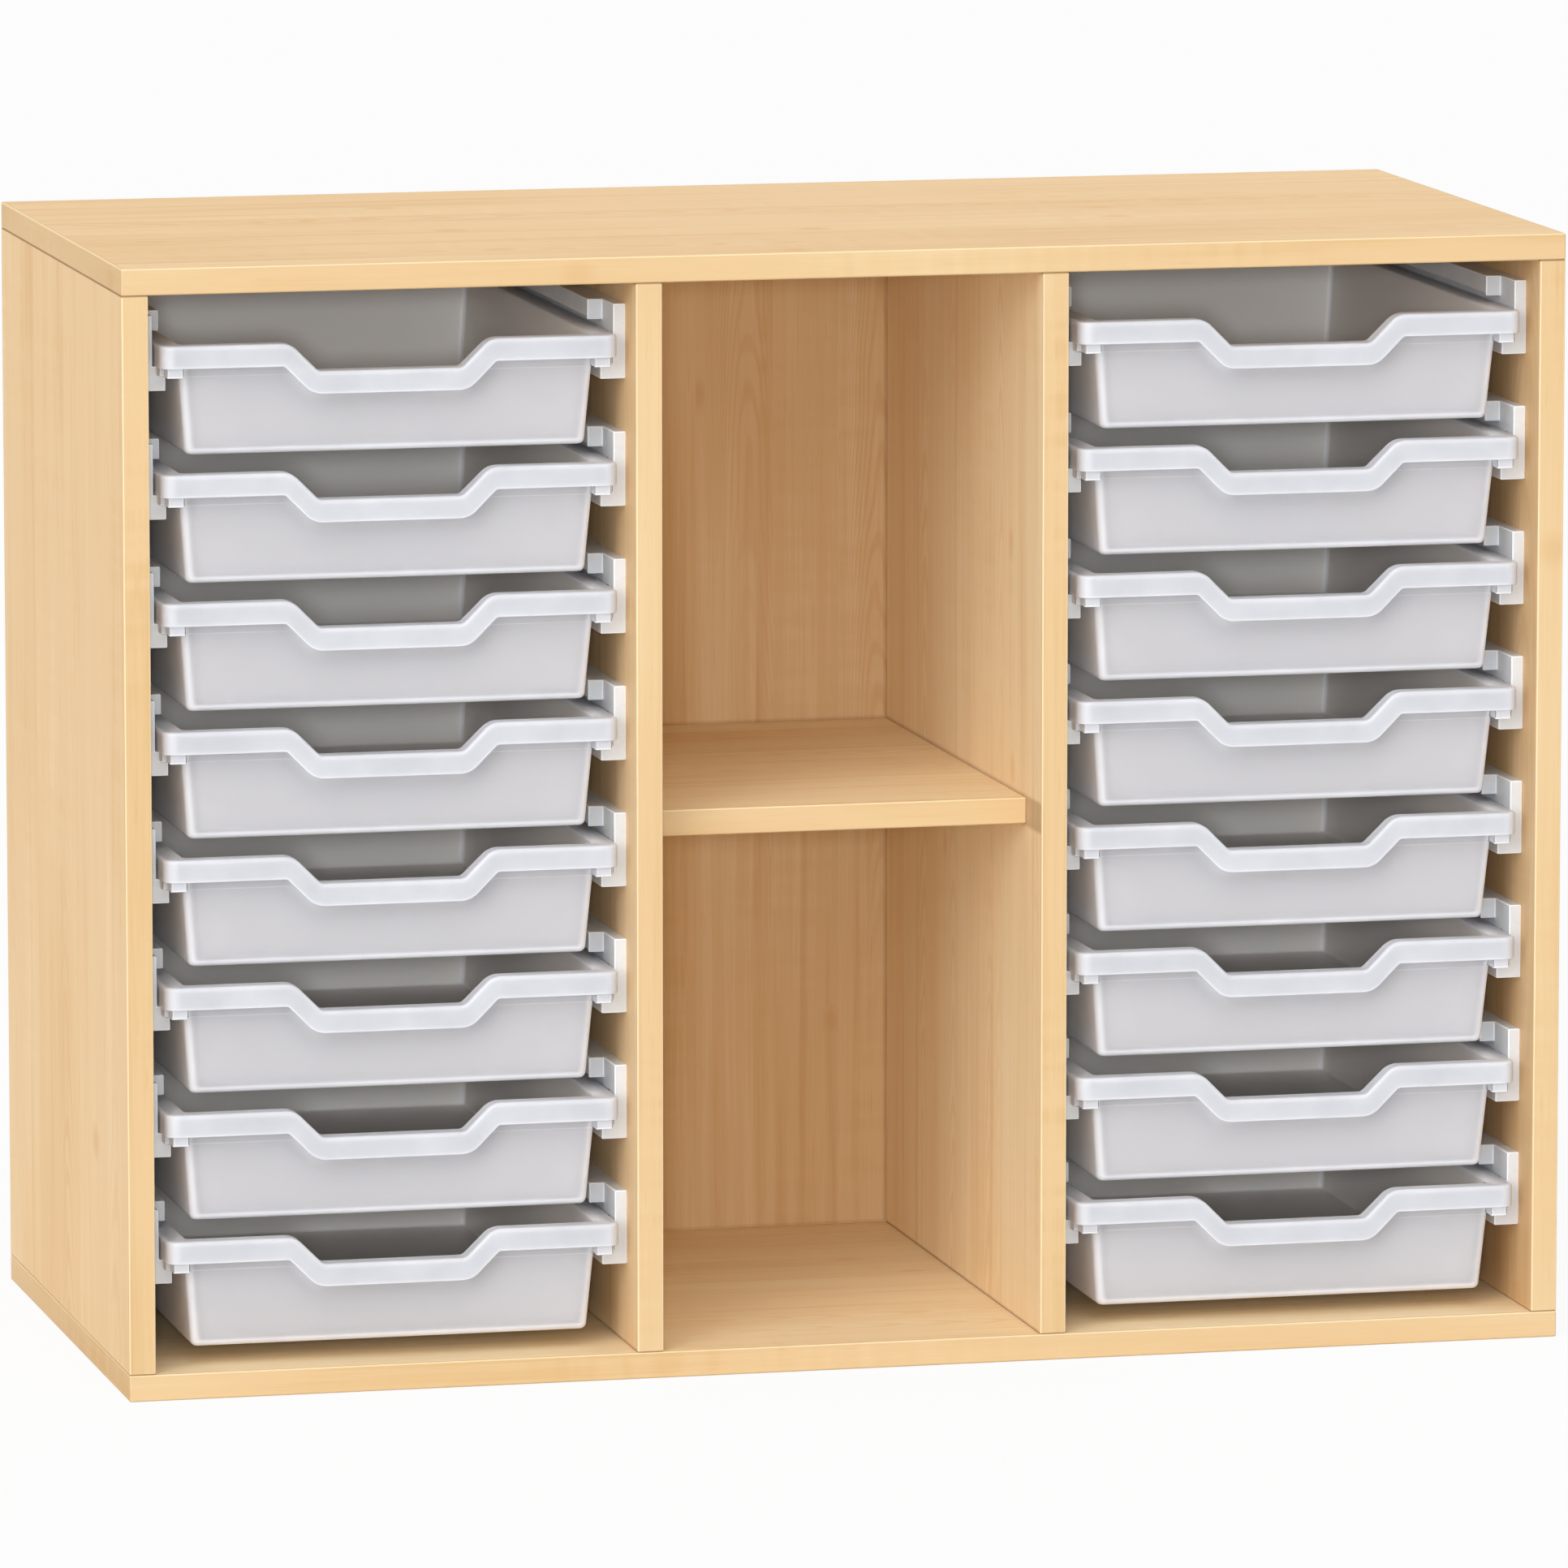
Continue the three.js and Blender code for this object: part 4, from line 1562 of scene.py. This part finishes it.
    def corner_highlight(self, line: Line, crown: float, beside_front: bool) -> float:
        """The painted highlight of a line in a corner.

        Args:
            line: The line.
            crown: 0 at the ends of the corner and 1 at its middle.
            beside_front: True on the half of a front corner that is turned to the side.

        Returns:
            The painted highlight, from 0 to 1.
        """
        inside = self.is_inside(line)
        outside = line.on_tub and not inside
        if inside:
            most = max(line.glow, self.glow.inner_corner)
            share = crown ** self.glow.corner_power
        else:
            most = max(line.glow, self.glow.outer_corner if outside else self.glow.rim_corner)
            share = self.glow.corner_ends + (1 - self.glow.corner_ends) * crown
        glow = line.glow + (most - line.glow) * share
        return max(glow, most) if outside and beside_front else glow

    def mesh(self) -> bpy.types.Mesh:
        """The tray's mesh, with the middle of its rim's top at the origin."""
        shape = bmesh.new()
        # A new layer can move the others, so they are looked up once both are there.
        shape.verts.layers.float.new("edge")
        shape.verts.layers.float.new("inside")
        glow = shape.verts.layers.float["edge"]
        inside = shape.verts.layers.float["inside"]
        rows = []
        for line in self.section():
            row = []
            for point, highlight_amount in self.ring(line):
                vert = shape.verts.new(point)
                vert[glow] = highlight_amount
                # Inner walls, the floor and the flat base take the paler inside colour, which is painted
                # light.
                vert[inside] = self.is_inside(line)
                row.append(vert)
            rows.append(row)
        shape.faces.new(rows[0])
        shape.faces.new(reversed(rows[-1]))
        count = len(rows[0])
        for near, far in zip(rows, rows[1:]):
            for k in range(count):
                after = (k + 1) % count
                shape.faces.new((near[k], far[k], far[after], near[after]))
        for hand in SIGNS:
            self.add_lug(shape, glow, hand, self.lug_back - self.lug_thickness, self.lug_back, self.lug_inset)
            self.add_lug(shape, glow, hand, self.nose_front, self.lug_back - self.lug_round, self.nose_inset)
        for face in shape.faces:
            face.smooth = True
        mesh = bpy.data.meshes.new("tray")
        shape.to_mesh(mesh)
        shape.free()
        return mesh

    def add_lug(self, shape: bmesh.types.BMesh, glow: bmesh.types.BMLayerItem, hand: int, front: float,
                back: float, inset: float) -> None:
        """Hang one block of a stop lug under a front corner of the rim.

        Args:
            shape: The tray so far.
            glow: Its layer of painted highlight.
            hand: -1 for the left corner and 1 for the right.
            front: How far behind the rim's front the block starts.
            back: How far behind it the block ends.
            inset: How far inside the rim's side the block is.
        """
        low = -self.rim_drop - self.lug_drop
        inner = self.width / 2 - self.side_flange + low * self.draft - self.wall / 2
        outer = self.width / 2 - inset
        size = Vector((outer - inner, back - front, -self.wall / 2 - low))
        middle = Vector((hand * (inner + outer) / 2, (front + back - self.length) / 2, low + size.z / 2))
        place = Matrix.Translation(middle) @ Matrix.Diagonal((*size, 1.0))
        made = bmesh.ops.create_cube(shape, size=1.0, matrix=place)
        edges = list(dict.fromkeys(edge for vert in made["verts"] for edge in vert.link_edges))
        rounded = bmesh.ops.bevel(shape, geom=edges, offset=self.lug_round, segments=self.small_steps,
                                  profile=ROUND, affect="EDGES")
        for vert in rounded["verts"]:
            vert[glow] = self.glow.lug_edge
        faces = dict.fromkeys(face for vert in rounded["verts"] for face in vert.link_faces)
        sides = [face for face in faces if face.calc_area() > self.lug_round * self.lug_thickness]
        bmesh.ops.inset_individual(shape, faces=sides, thickness=self.lug_round)
        for face in sides:
            for vert in face.verts:
                vert[glow] = self.glow.lug_face


@dataclass(frozen=True)
class Runner:
    """A moulded runner: a plate on the board, a ledge under the tray's rim and a lip above it.

    Attributes:
        plate: The thickness of the plate.
        ledge_reach: How far the ledge stands out from the plate.
        lip_reach: How far the lip stands out from the plate.
        ledge_height: The height of the ledge.
        lip_height: The height of the lip.
        lip_setback: How far behind the runner's front the lip starts.
        nib_length: The length of the nib at the front of the lip.
        nib_drop: How far the nib hangs below the lip.
        softening: The radius of the edges.
        softening_steps: The number of facets on an edge.
        flat_angle: The angle in radians below which two faces are joined.
        sharp_angle: The angle in radians above which an edge is softened.
        small_face: The area below which a face is shaded smooth.
        touch: The distance within which two places are the same.
    """

    plate: float = 8.5 * MM
    ledge_reach: float = 8.9 * MM
    lip_reach: float = 10.5 * MM
    ledge_height: float = 16.5 * MM
    lip_height: float = 12 * MM
    lip_setback: float = 33 * MM
    nib_length: float = 4 * MM
    nib_drop: float = 1.8 * MM
    softening: float = 0.7 * MM
    softening_steps: int = 2
    flat_angle: float = 0.01
    sharp_angle: float = 0.5
    small_face: float = 30 * MM * MM
    touch: float = 0.001 * MM

    def mesh(self, node: str, board_side: int) -> bpy.types.Mesh:
        """The runner's mesh in its place.

        Args:
            node: The runner's node.
            board_side: -1 if the board is on its left and 1 if it is on its right.

        Returns:
            The mesh.
        """
        low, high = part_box(node)
        reach = self.plate + self.lip_reach
        board = low.x if board_side < 0 else high.x
        xs = [board - board_side * x for x in (0.0, self.plate, self.plate + self.ledge_reach, reach)]
        ys = [low.y + y for y in (0.0, self.lip_setback, self.lip_setback + self.nib_length, high.y - low.y)]
        lip_under = high.z - self.lip_height
        zs = [low.z, low.z + self.ledge_height, lip_under - self.nib_drop, lip_under, high.z]

        def filled(i: int, j: int, k: int) -> bool:
            """Whether a cell between the grid lines is part of the runner.

            Args:
                i: The cell's number from the board outwards.
                j: Its number from the front to the rear.
                k: Its number from below.

            Returns:
                True for the cells of the plate, the ledge, the lip and the nib.
            """
            if not (0 <= i < len(xs) - 1 and 0 <= j < len(ys) - 1 and 0 <= k < len(zs) - 1):
                return False
            plate = i == 0
            ledge = i == 1 and k == 0
            lip = j > 0 and k == 3
            nib = j == 1 and k == 2
            return plate or ledge or lip or nib

        shape = self.blocks(xs, ys, zs, filled)
        for vert in shape.verts:
            if abs(vert.co.y - ys[2]) < self.touch and abs(vert.co.z - zs[2]) < self.touch:
                vert.co.y -= self.nib_length / 2
        bmesh.ops.dissolve_limit(shape, angle_limit=self.flat_angle, verts=shape.verts[:],
                                 edges=shape.edges[:])
        bmesh.ops.recalc_face_normals(shape, faces=shape.faces[:])
        shape.faces.layers.float.new("edge")
        sharp = [edge for edge in shape.edges if edge.calc_face_angle(0.0) > self.sharp_angle]
        rounded = bmesh.ops.bevel(shape, geom=sharp, offset=self.softening, segments=self.softening_steps,
                                  profile=ROUND, affect="EDGES")
        pale = shape.faces.layers.float["edge"]
        # The rounded faces get the painted highlight.
        for face in rounded["faces"]:
            face[pale] = 1.0
        for face in shape.faces:
            face.smooth = face.calc_area() < self.small_face
        mesh = bpy.data.meshes.new(node)
        shape.to_mesh(mesh)
        shape.free()
        return mesh

    @staticmethod
    def blocks(xs: Sequence[float], ys: Sequence[float], zs: Sequence[float],
               filled: Callable[[int, int, int], bool]) -> bmesh.types.BMesh:
        """The skin of all filled cells of a grid.

        Args:
            xs: Grid lines along the width.
            ys: Grid lines along the depth.
            zs: Grid lines along the height.
            filled: Says for a cell's three numbers if it is filled.

        Returns:
            The skin, with its points shared.
        """
        shape = bmesh.new()
        verts: dict[tuple[int, int, int], bmesh.types.BMVert] = {}

        def vert(i: int, j: int, k: int) -> bmesh.types.BMVert:
            """The point where three grid lines cross, made when it is first asked for.

            Args:
                i: The number of the line along the width.
                j: The number of the line along the depth.
                k: The number of the line along the height.

            Returns:
                The point.
            """
            if (i, j, k) not in verts:
                verts[i, j, k] = shape.verts.new((xs[i], ys[j], zs[k]))
            return verts[i, j, k]

        def add_wall(cell: tuple[int, int, int], axis: int, side: int) -> None:
            """Close a cell on one of its sides.

            Args:
                cell: The cell's three numbers.
                axis: The axis that the wall faces along.
                side: 0 for the wall at the cell's start and 1 for the wall at its end.
            """
            corners = []
            for a, b in ((0, 0), (1, 0), (1, 1), (0, 1)):
                corner = list(cell)
                corner[axis] += side
                corner[(axis + 1) % 3] += a
                corner[(axis + 2) % 3] += b
                corners.append(vert(*corner))
            shape.faces.new(corners)

        sizes = (range(len(xs) - 1), range(len(ys) - 1), range(len(zs) - 1))
        for cell in product(*sizes):
            if not filled(*cell):
                continue
            for axis, side in product(range(3), (0, 1)):
                beyond = list(cell)
                beyond[axis] += 1 if side else -1
                if not filled(*beyond):
                    add_wall(cell, axis, side)
        return shape


@dataclass(frozen=True)
class RunnerScrews:
    """Countersunk cross-head screws that hold each runner to its board.

    Attributes:
        head: The diameter of the head.
        head_sides: The number of facets round the head.
        top_share: The radius of the head's flat top, as a share of its diameter.
        proud: How far the head stands out of the plate.
        depth: The height of the head.
        cross_length: The length of the cross.
        cross_width: The width of the cross.
        cross_depth: The depth of the cross.
        end_distance: How far from the runner's ends the first and last screws are.
        per_runner: The number of screws in a runner.
        below_lip: How far below the lip the screws are.
    """

    head: float = 7.0 * MM
    head_sides: int = 24
    top_share: float = 0.46
    proud: float = 0.25 * MM
    depth: float = 1.2 * MM
    cross_length: float = 3.8 * MM
    cross_width: float = 1.0 * MM
    cross_depth: float = 0.9 * MM
    end_distance: float = 18 * MM
    per_runner: int = 3
    below_lip: float = 10.5 * MM

    def tree(self) -> bpy.types.NodeTree:
        """The node tree that puts a screw head on every point, facing along the point's way."""
        tree = bpy.data.node_groups.new("runner_screws", "GeometryNodeTree")
        face = tree.interface
        face.new_socket("Points", in_out="INPUT", socket_type="NodeSocketGeometry")
        sizes = {"Head": self.head, "Depth": self.depth, "Cross length": self.cross_length,
                 "Cross width": self.cross_width, "Cross depth": self.cross_depth}
        for name, size in sizes.items():
            socket = face.new_socket(name, in_out="INPUT", socket_type="NodeSocketFloat")
            socket.default_value = size
        face.new_socket("Finish", in_out="INPUT", socket_type="NodeSocketMaterial")
        face.new_socket("Screws", in_out="OUTPUT", socket_type="NodeSocketGeometry")
        start = tree.nodes.new("NodeGroupInput")
        end = tree.nodes.new("NodeGroupOutput")

        def join(source: bpy.types.NodeSocket, target: bpy.types.NodeSocket) -> None:
            """Join an output to an input."""
            tree.links.new(source, target)

        def times(source: bpy.types.NodeSocket, factor: float) -> bpy.types.NodeSocket:
            """Multiply a size.

            Args:
                source: The size.
                factor: What it is multiplied by.

            Returns:
                The product.
            """
            node = tree.nodes.new("ShaderNodeMath")
            node.operation = "MULTIPLY"
            join(source, node.inputs[0])
            node.inputs[1].default_value = factor
            return node.outputs[0]

        head = tree.nodes.new("GeometryNodeMeshCone")
        head.inputs["Vertices"].default_value = self.head_sides
        join(times(start.outputs["Head"], self.top_share), head.inputs["Radius Top"])
        join(times(start.outputs["Head"], 0.5), head.inputs["Radius Bottom"])
        join(start.outputs["Depth"], head.inputs["Depth"])
        cut = tree.nodes.new("GeometryNodeMeshBoolean")
        cut.operation = "DIFFERENCE"
        join(head.outputs["Mesh"], cut.inputs["Mesh 1"])
        for turned in (False, True):
            size = tree.nodes.new("ShaderNodeCombineXYZ")
            join(start.outputs["Cross width" if turned else "Cross length"], size.inputs[0])
            join(start.outputs["Cross length" if turned else "Cross width"], size.inputs[1])
            # The bar stands half in the head, so it is twice as high as the cross is deep.
            join(times(start.outputs["Cross depth"], 2.0), size.inputs[2])
            bar = tree.nodes.new("GeometryNodeMeshCube")
            join(size.outputs[0], bar.inputs["Size"])
            lift = tree.nodes.new("ShaderNodeCombineXYZ")
            join(start.outputs["Depth"], lift.inputs[2])
            raised = tree.nodes.new("GeometryNodeTransform")
            join(bar.outputs["Mesh"], raised.inputs["Geometry"])
            join(lift.outputs[0], raised.inputs["Translation"])
            join(raised.outputs[0], cut.inputs["Mesh 2"])
        way = tree.nodes.new("GeometryNodeInputNamedAttribute")
        way.data_type = "FLOAT_VECTOR"
        way.inputs["Name"].default_value = "way"
        facing = tree.nodes.new("FunctionNodeAlignRotationToVector")
        facing.axis = "Z"
        join(way.outputs["Attribute"], facing.inputs["Vector"])
        copies = tree.nodes.new("GeometryNodeInstanceOnPoints")
        join(start.outputs["Points"], copies.inputs["Points"])
        join(cut.outputs["Mesh"], copies.inputs["Instance"])
        join(facing.outputs["Rotation"], copies.inputs["Rotation"])
        solid = tree.nodes.new("GeometryNodeRealizeInstances")
        join(copies.outputs["Instances"], solid.inputs["Geometry"])
        dressed = tree.nodes.new("GeometryNodeSetMaterial")
        join(solid.outputs["Geometry"], dressed.inputs["Geometry"])
        join(start.outputs["Finish"], dressed.inputs["Material"])
        join(dressed.outputs["Geometry"], end.inputs["Screws"])
        return tree

    def places(self, runner: Runner) -> Iterator[tuple[Vector, Vector]]:
        """The place of every screw and the way that its head faces.

        Args:
            runner: The runner's sizes.

        Yields:
            The back of the screw's head and its way.
        """
        for column, row, wall, board_side in runner_places():
            low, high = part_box(f"runner_{column}_{row}_{wall}")
            board = low.x if board_side < 0 else high.x
            way = Vector((-board_side, 0.0, 0.0))
            x = board + way.x * (runner.plate + self.proud - self.depth)
            z = high.z - runner.lip_height - self.below_lip
            run = high.y - low.y - 2 * self.end_distance
            for number in range(self.per_runner):
                y = low.y + self.end_distance + run * number / (self.per_runner - 1)
                yield Vector((x, y, z)), way

    def build(self, runner: Runner) -> None:
        """Make all screws as one piece.

        Args:
            runner: The runner's sizes.
        """
        places = list(self.places(runner))
        points = bpy.data.meshes.new("screw_points")
        points.from_pydata([place for place, _ in places], [], [])
        way = points.attributes.new("way", "FLOAT_VECTOR", "POINT")
        for item, (_, facing) in zip(way.data, places):
            item.vector = facing
        maker = bpy.data.objects.new("screw_maker", points)
        bpy.context.scene.collection.objects.link(maker)
        tree = self.tree()
        modifier = maker.modifiers.new("screws", "NODES")
        modifier.node_group = tree
        finish = ZINC.material()
        for item in tree.interface.items_tree:
            if item.in_out == "INPUT" and item.name == "Finish":
                modifier[item.identifier] = finish
        graph = bpy.context.evaluated_depsgraph_get()
        mesh = bpy.data.meshes.new_from_object(maker.evaluated_get(graph))
        maker.modifiers.remove(modifier)
        bpy.data.objects.remove(maker)
        mesh.name = "runner_screws"
        finish_piece("runner_screws", mesh, [finish], CABINET)


def runner_places() -> Iterator[tuple[str, int, str, int]]:
    """Every runner's column, row and board, with -1 where its board is on its left and 1 on its right."""
    for column in COLUMNS:
        for row in ROWS:
            for wall in ("side", "divider"):
                on_left = (column == "left") == (wall == "side")
                yield column, row, wall, -1 if on_left else 1


class TrayColumns:
    """Both columns of trays with their runners and screws."""

    def __init__(self) -> None:
        """Take the sizes of one tray, one runner and their screws."""
        self.tray = Tray()
        self.runner = Runner()
        self.screws = RunnerScrews()

    def build(self) -> None:
        """Make the trays, each on its own body, and the runners on the cabinet."""
        frosted = FROSTED.material()
        pattern = self.tray.mesh()
        for column in COLUMNS:
            for row in ROWS:
                node = f"tray_{column}_{row}"
                low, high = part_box(node)
                mesh = pattern.copy()
                middle = (low + high) / 2
                mesh.transform(Matrix.Translation((middle.x, middle.y, high.z)))
                finish_piece(f"{node}_moulding", mesh, [frosted], node, [node])
        white = RUNNER_WHITE.material()
        for column, row, wall, board_side in runner_places():
            node = f"runner_{column}_{row}_{wall}"
            mesh = self.runner.mesh(node, board_side)
            finish_piece(f"{node}_moulding", mesh, [white], CABINET, [node])
        self.screws.build(self.runner)


@dataclass(frozen=True)
class Lamp:
    """A wide, distant light.

    Attributes:
        name: The lamp's name.
        strength: Its strength.
        side_deg: Degrees to the right of the front that it shines from.
        up_deg: Degrees above the floor that it shines from.
        width_deg: How wide it looks from the object.
        colour: The colour of its light.
    """

    name: str
    strength: float
    side_deg: float
    up_deg: float
    width_deg: float
    colour: Colour = (1.0, 1.0, 1.0)


@dataclass(frozen=True)
class Studio:
    """A pale floor under even, soft light, and the camera of the photograph.

    Attributes:
        camera_place: Where the camera stands.
        camera_yaw_deg: Degrees that it is turned to the right.
        camera_pitch_deg: Degrees that it looks down.
        camera_reach: How far it sees.
        lens: Its focal length in millimetres.
        floor_half: Half the width of the floor.
        floor_drop: How far the floor is below the unit.
        floor_colour: The colour that the floor throws back on the unit.
        floor_white: How white the camera sees the floor, from 0 for its own colour to 1.
        sky: The strength of the light from all round.
        lamps: The distant lights.
        flash: The power of the light beside the lens.
        flash_width: The width of that light.
        flash_colour: The colour of that light.
    """

    camera_place: tuple[float, float, float] = (-2.0, -8.3641, 1.6432)
    camera_yaw_deg: float = 13.494
    camera_pitch_deg: float = 8.423
    camera_reach: float = 200.0
    lens: float = 287.4
    floor_half: float = 40.0
    floor_drop: float = 0.3 * MM
    floor_colour: Colour = from_screen(228, 228, 228)
    floor_white: float = 0.92
    sky: float = 0.1
    lamps: tuple[Lamp, ...] = (
        Lamp("low_light", 1.0, -44.0, 12.0, 36.0, (0.97, 1.0, 1.05)),
        Lamp("side_light", 0.5, -100.0, 12.0, 40.0),
        Lamp("high_light", 0.97, -27.0, 40.0, 50.0, (0.94, 1.0, 1.06)),
        Lamp("top_light", 1.12, -20.0, 78.0, 60.0, (1.06, 1.0, 0.9)),
        Lamp("right_light", 0.15, 25.0, 25.0, 50.0),
        Lamp("rear_light", 0.6, 135.0, 35.0, 60.0),
    )
    flash: float = 182.0
    flash_width: float = 0.6
    flash_colour: Colour = (0.91, 1.0, 1.08)

    def build(self) -> None:
        """Make the floor, the light and the camera."""
        self.add_floor()
        self.add_sky()
        for lamp in self.lamps:
            self.add_sun(lamp)
        self.add_flash()
        self.add_camera()
        bpy.context.scene.view_settings.view_transform = "Standard"

    def add_floor(self) -> None:
        """A wide plain floor that shows almost white and keeps a soft shadow."""
        half = self.floor_half
        corners = ((-half, -half), (half, -half), (half, half), (-half, half))
        mesh = bpy.data.meshes.new("floor")
        mesh.from_pydata([(x, y, -self.floor_drop) for x, y in corners], [], [(0, 1, 2, 3)])
        floor = bpy.data.objects.new("floor", mesh)
        sheet = NodeSheet("floor_paper")
        sheet.paint(self.floor_colour)
        sheet.shader.inputs["Roughness"].default_value = 1.0
        sheet.shader.inputs["Specular IOR Level"].default_value = 0.0
        glow = sheet.add("ShaderNodeEmission")
        both = sheet.add("ShaderNodeMixShader")
        sheet.feed(both.inputs[0], sheet.math("MULTIPLY", self.seen(sheet.tree), self.floor_white))
        sheet.feed(both.inputs[1], sheet.shader.outputs["BSDF"])
        sheet.feed(both.inputs[2], glow.outputs[0])
        sheet.feed(sheet.output.inputs["Surface"], both.outputs[0])
        mesh.materials.append(sheet.material)
        bpy.context.scene.collection.objects.link(floor)

    @staticmethod
    def seen(tree: bpy.types.NodeTree) -> bpy.types.NodeSocket:
        """What the camera sees, by itself, in a polished surface or through a clear one.

        Args:
            tree: The nodes of the floor or of the sky.

        Returns:
            1 for rays that show the surface to the camera, and 0 for rays that only light the object.
        """
        path = tree.nodes.new("ShaderNodeLightPath")
        shown = path.outputs["Is Camera Ray"]
        for name in ("Is Glossy Ray", "Is Transmission Ray"):
            either = tree.nodes.new("ShaderNodeMath")
            either.operation = "MAXIMUM"
            tree.links.new(shown, either.inputs[0])
            tree.links.new(path.outputs[name], either.inputs[1])
            shown = either.outputs[0]
        return shown

    def add_sky(self) -> None:
        """Even light from all round, which shows as plain white behind the object."""
        world = bpy.data.worlds.new("studio")
        world.use_nodes = True
        tree = world.node_tree
        tree.nodes.clear()
        strength = tree.nodes.new("ShaderNodeMapRange")
        strength.inputs["To Min"].default_value = self.sky
        tree.links.new(self.seen(tree), strength.inputs["Value"])
        background = tree.nodes.new("ShaderNodeBackground")
        background.inputs["Color"].default_value = (1.0, 1.0, 1.0, 1.0)
        tree.links.new(strength.outputs[0], background.inputs["Strength"])
        output = tree.nodes.new("ShaderNodeOutputWorld")
        tree.links.new(background.outputs[0], output.inputs["Surface"])
        bpy.context.scene.world = world

    @staticmethod
    def add_sun(lamp: Lamp) -> None:
        """Hang one wide, distant light.

        Args:
            lamp: The light to hang.
        """
        light = bpy.data.lights.new(lamp.name, "SUN")
        light.energy = lamp.strength
        light.color = lamp.colour
        light.angle = math.radians(lamp.width_deg)
        sun = bpy.data.objects.new(lamp.name, light)
        side = math.radians(lamp.side_deg)
        up = math.radians(lamp.up_deg)
        way = Vector((math.sin(side) * math.cos(up), -math.cos(side) * math.cos(up), math.sin(up)))
        sun.rotation_euler = way.to_track_quat("Z", "Y").to_euler()
        bpy.context.scene.collection.objects.link(sun)

    def add_flash(self) -> None:
        """A round light beside the lens, which reaches into all that the camera sees."""
        light = bpy.data.lights.new("front_light", "AREA")
        light.shape = "DISK"
        light.size = self.flash_width
        light.energy = self.flash
        light.color = self.flash_colour
        flash = bpy.data.objects.new("front_light", light)
        flash.location = self.camera_place
        flash.rotation_euler = self.camera_turn()
        bpy.context.scene.collection.objects.link(flash)

    def camera_turn(self) -> tuple[float, float, float]:
        """The turn that points the camera and the light beside it at the object."""
        return math.radians(90 - self.camera_pitch_deg), 0.0, math.radians(-self.camera_yaw_deg)

    def add_camera(self) -> None:
        """The camera at the photograph's place and angle."""
        lens = bpy.data.cameras.new("camera")
        lens.lens = self.lens
        lens.clip_end = self.camera_reach
        camera = bpy.data.objects.new("camera", lens)
        camera.location = self.camera_place
        camera.rotation_euler = self.camera_turn()
        bpy.context.scene.collection.objects.link(camera)
        bpy.context.scene.camera = camera


def main() -> None:
    """Build the carcass, the trays with their runners, and the studio."""
    logging.basicConfig(level=logging.INFO, format="%(name)s %(message)s")
    Carcass().build()
    TrayColumns().build()
    Studio().build()


if __name__ == "__main__":
    main()
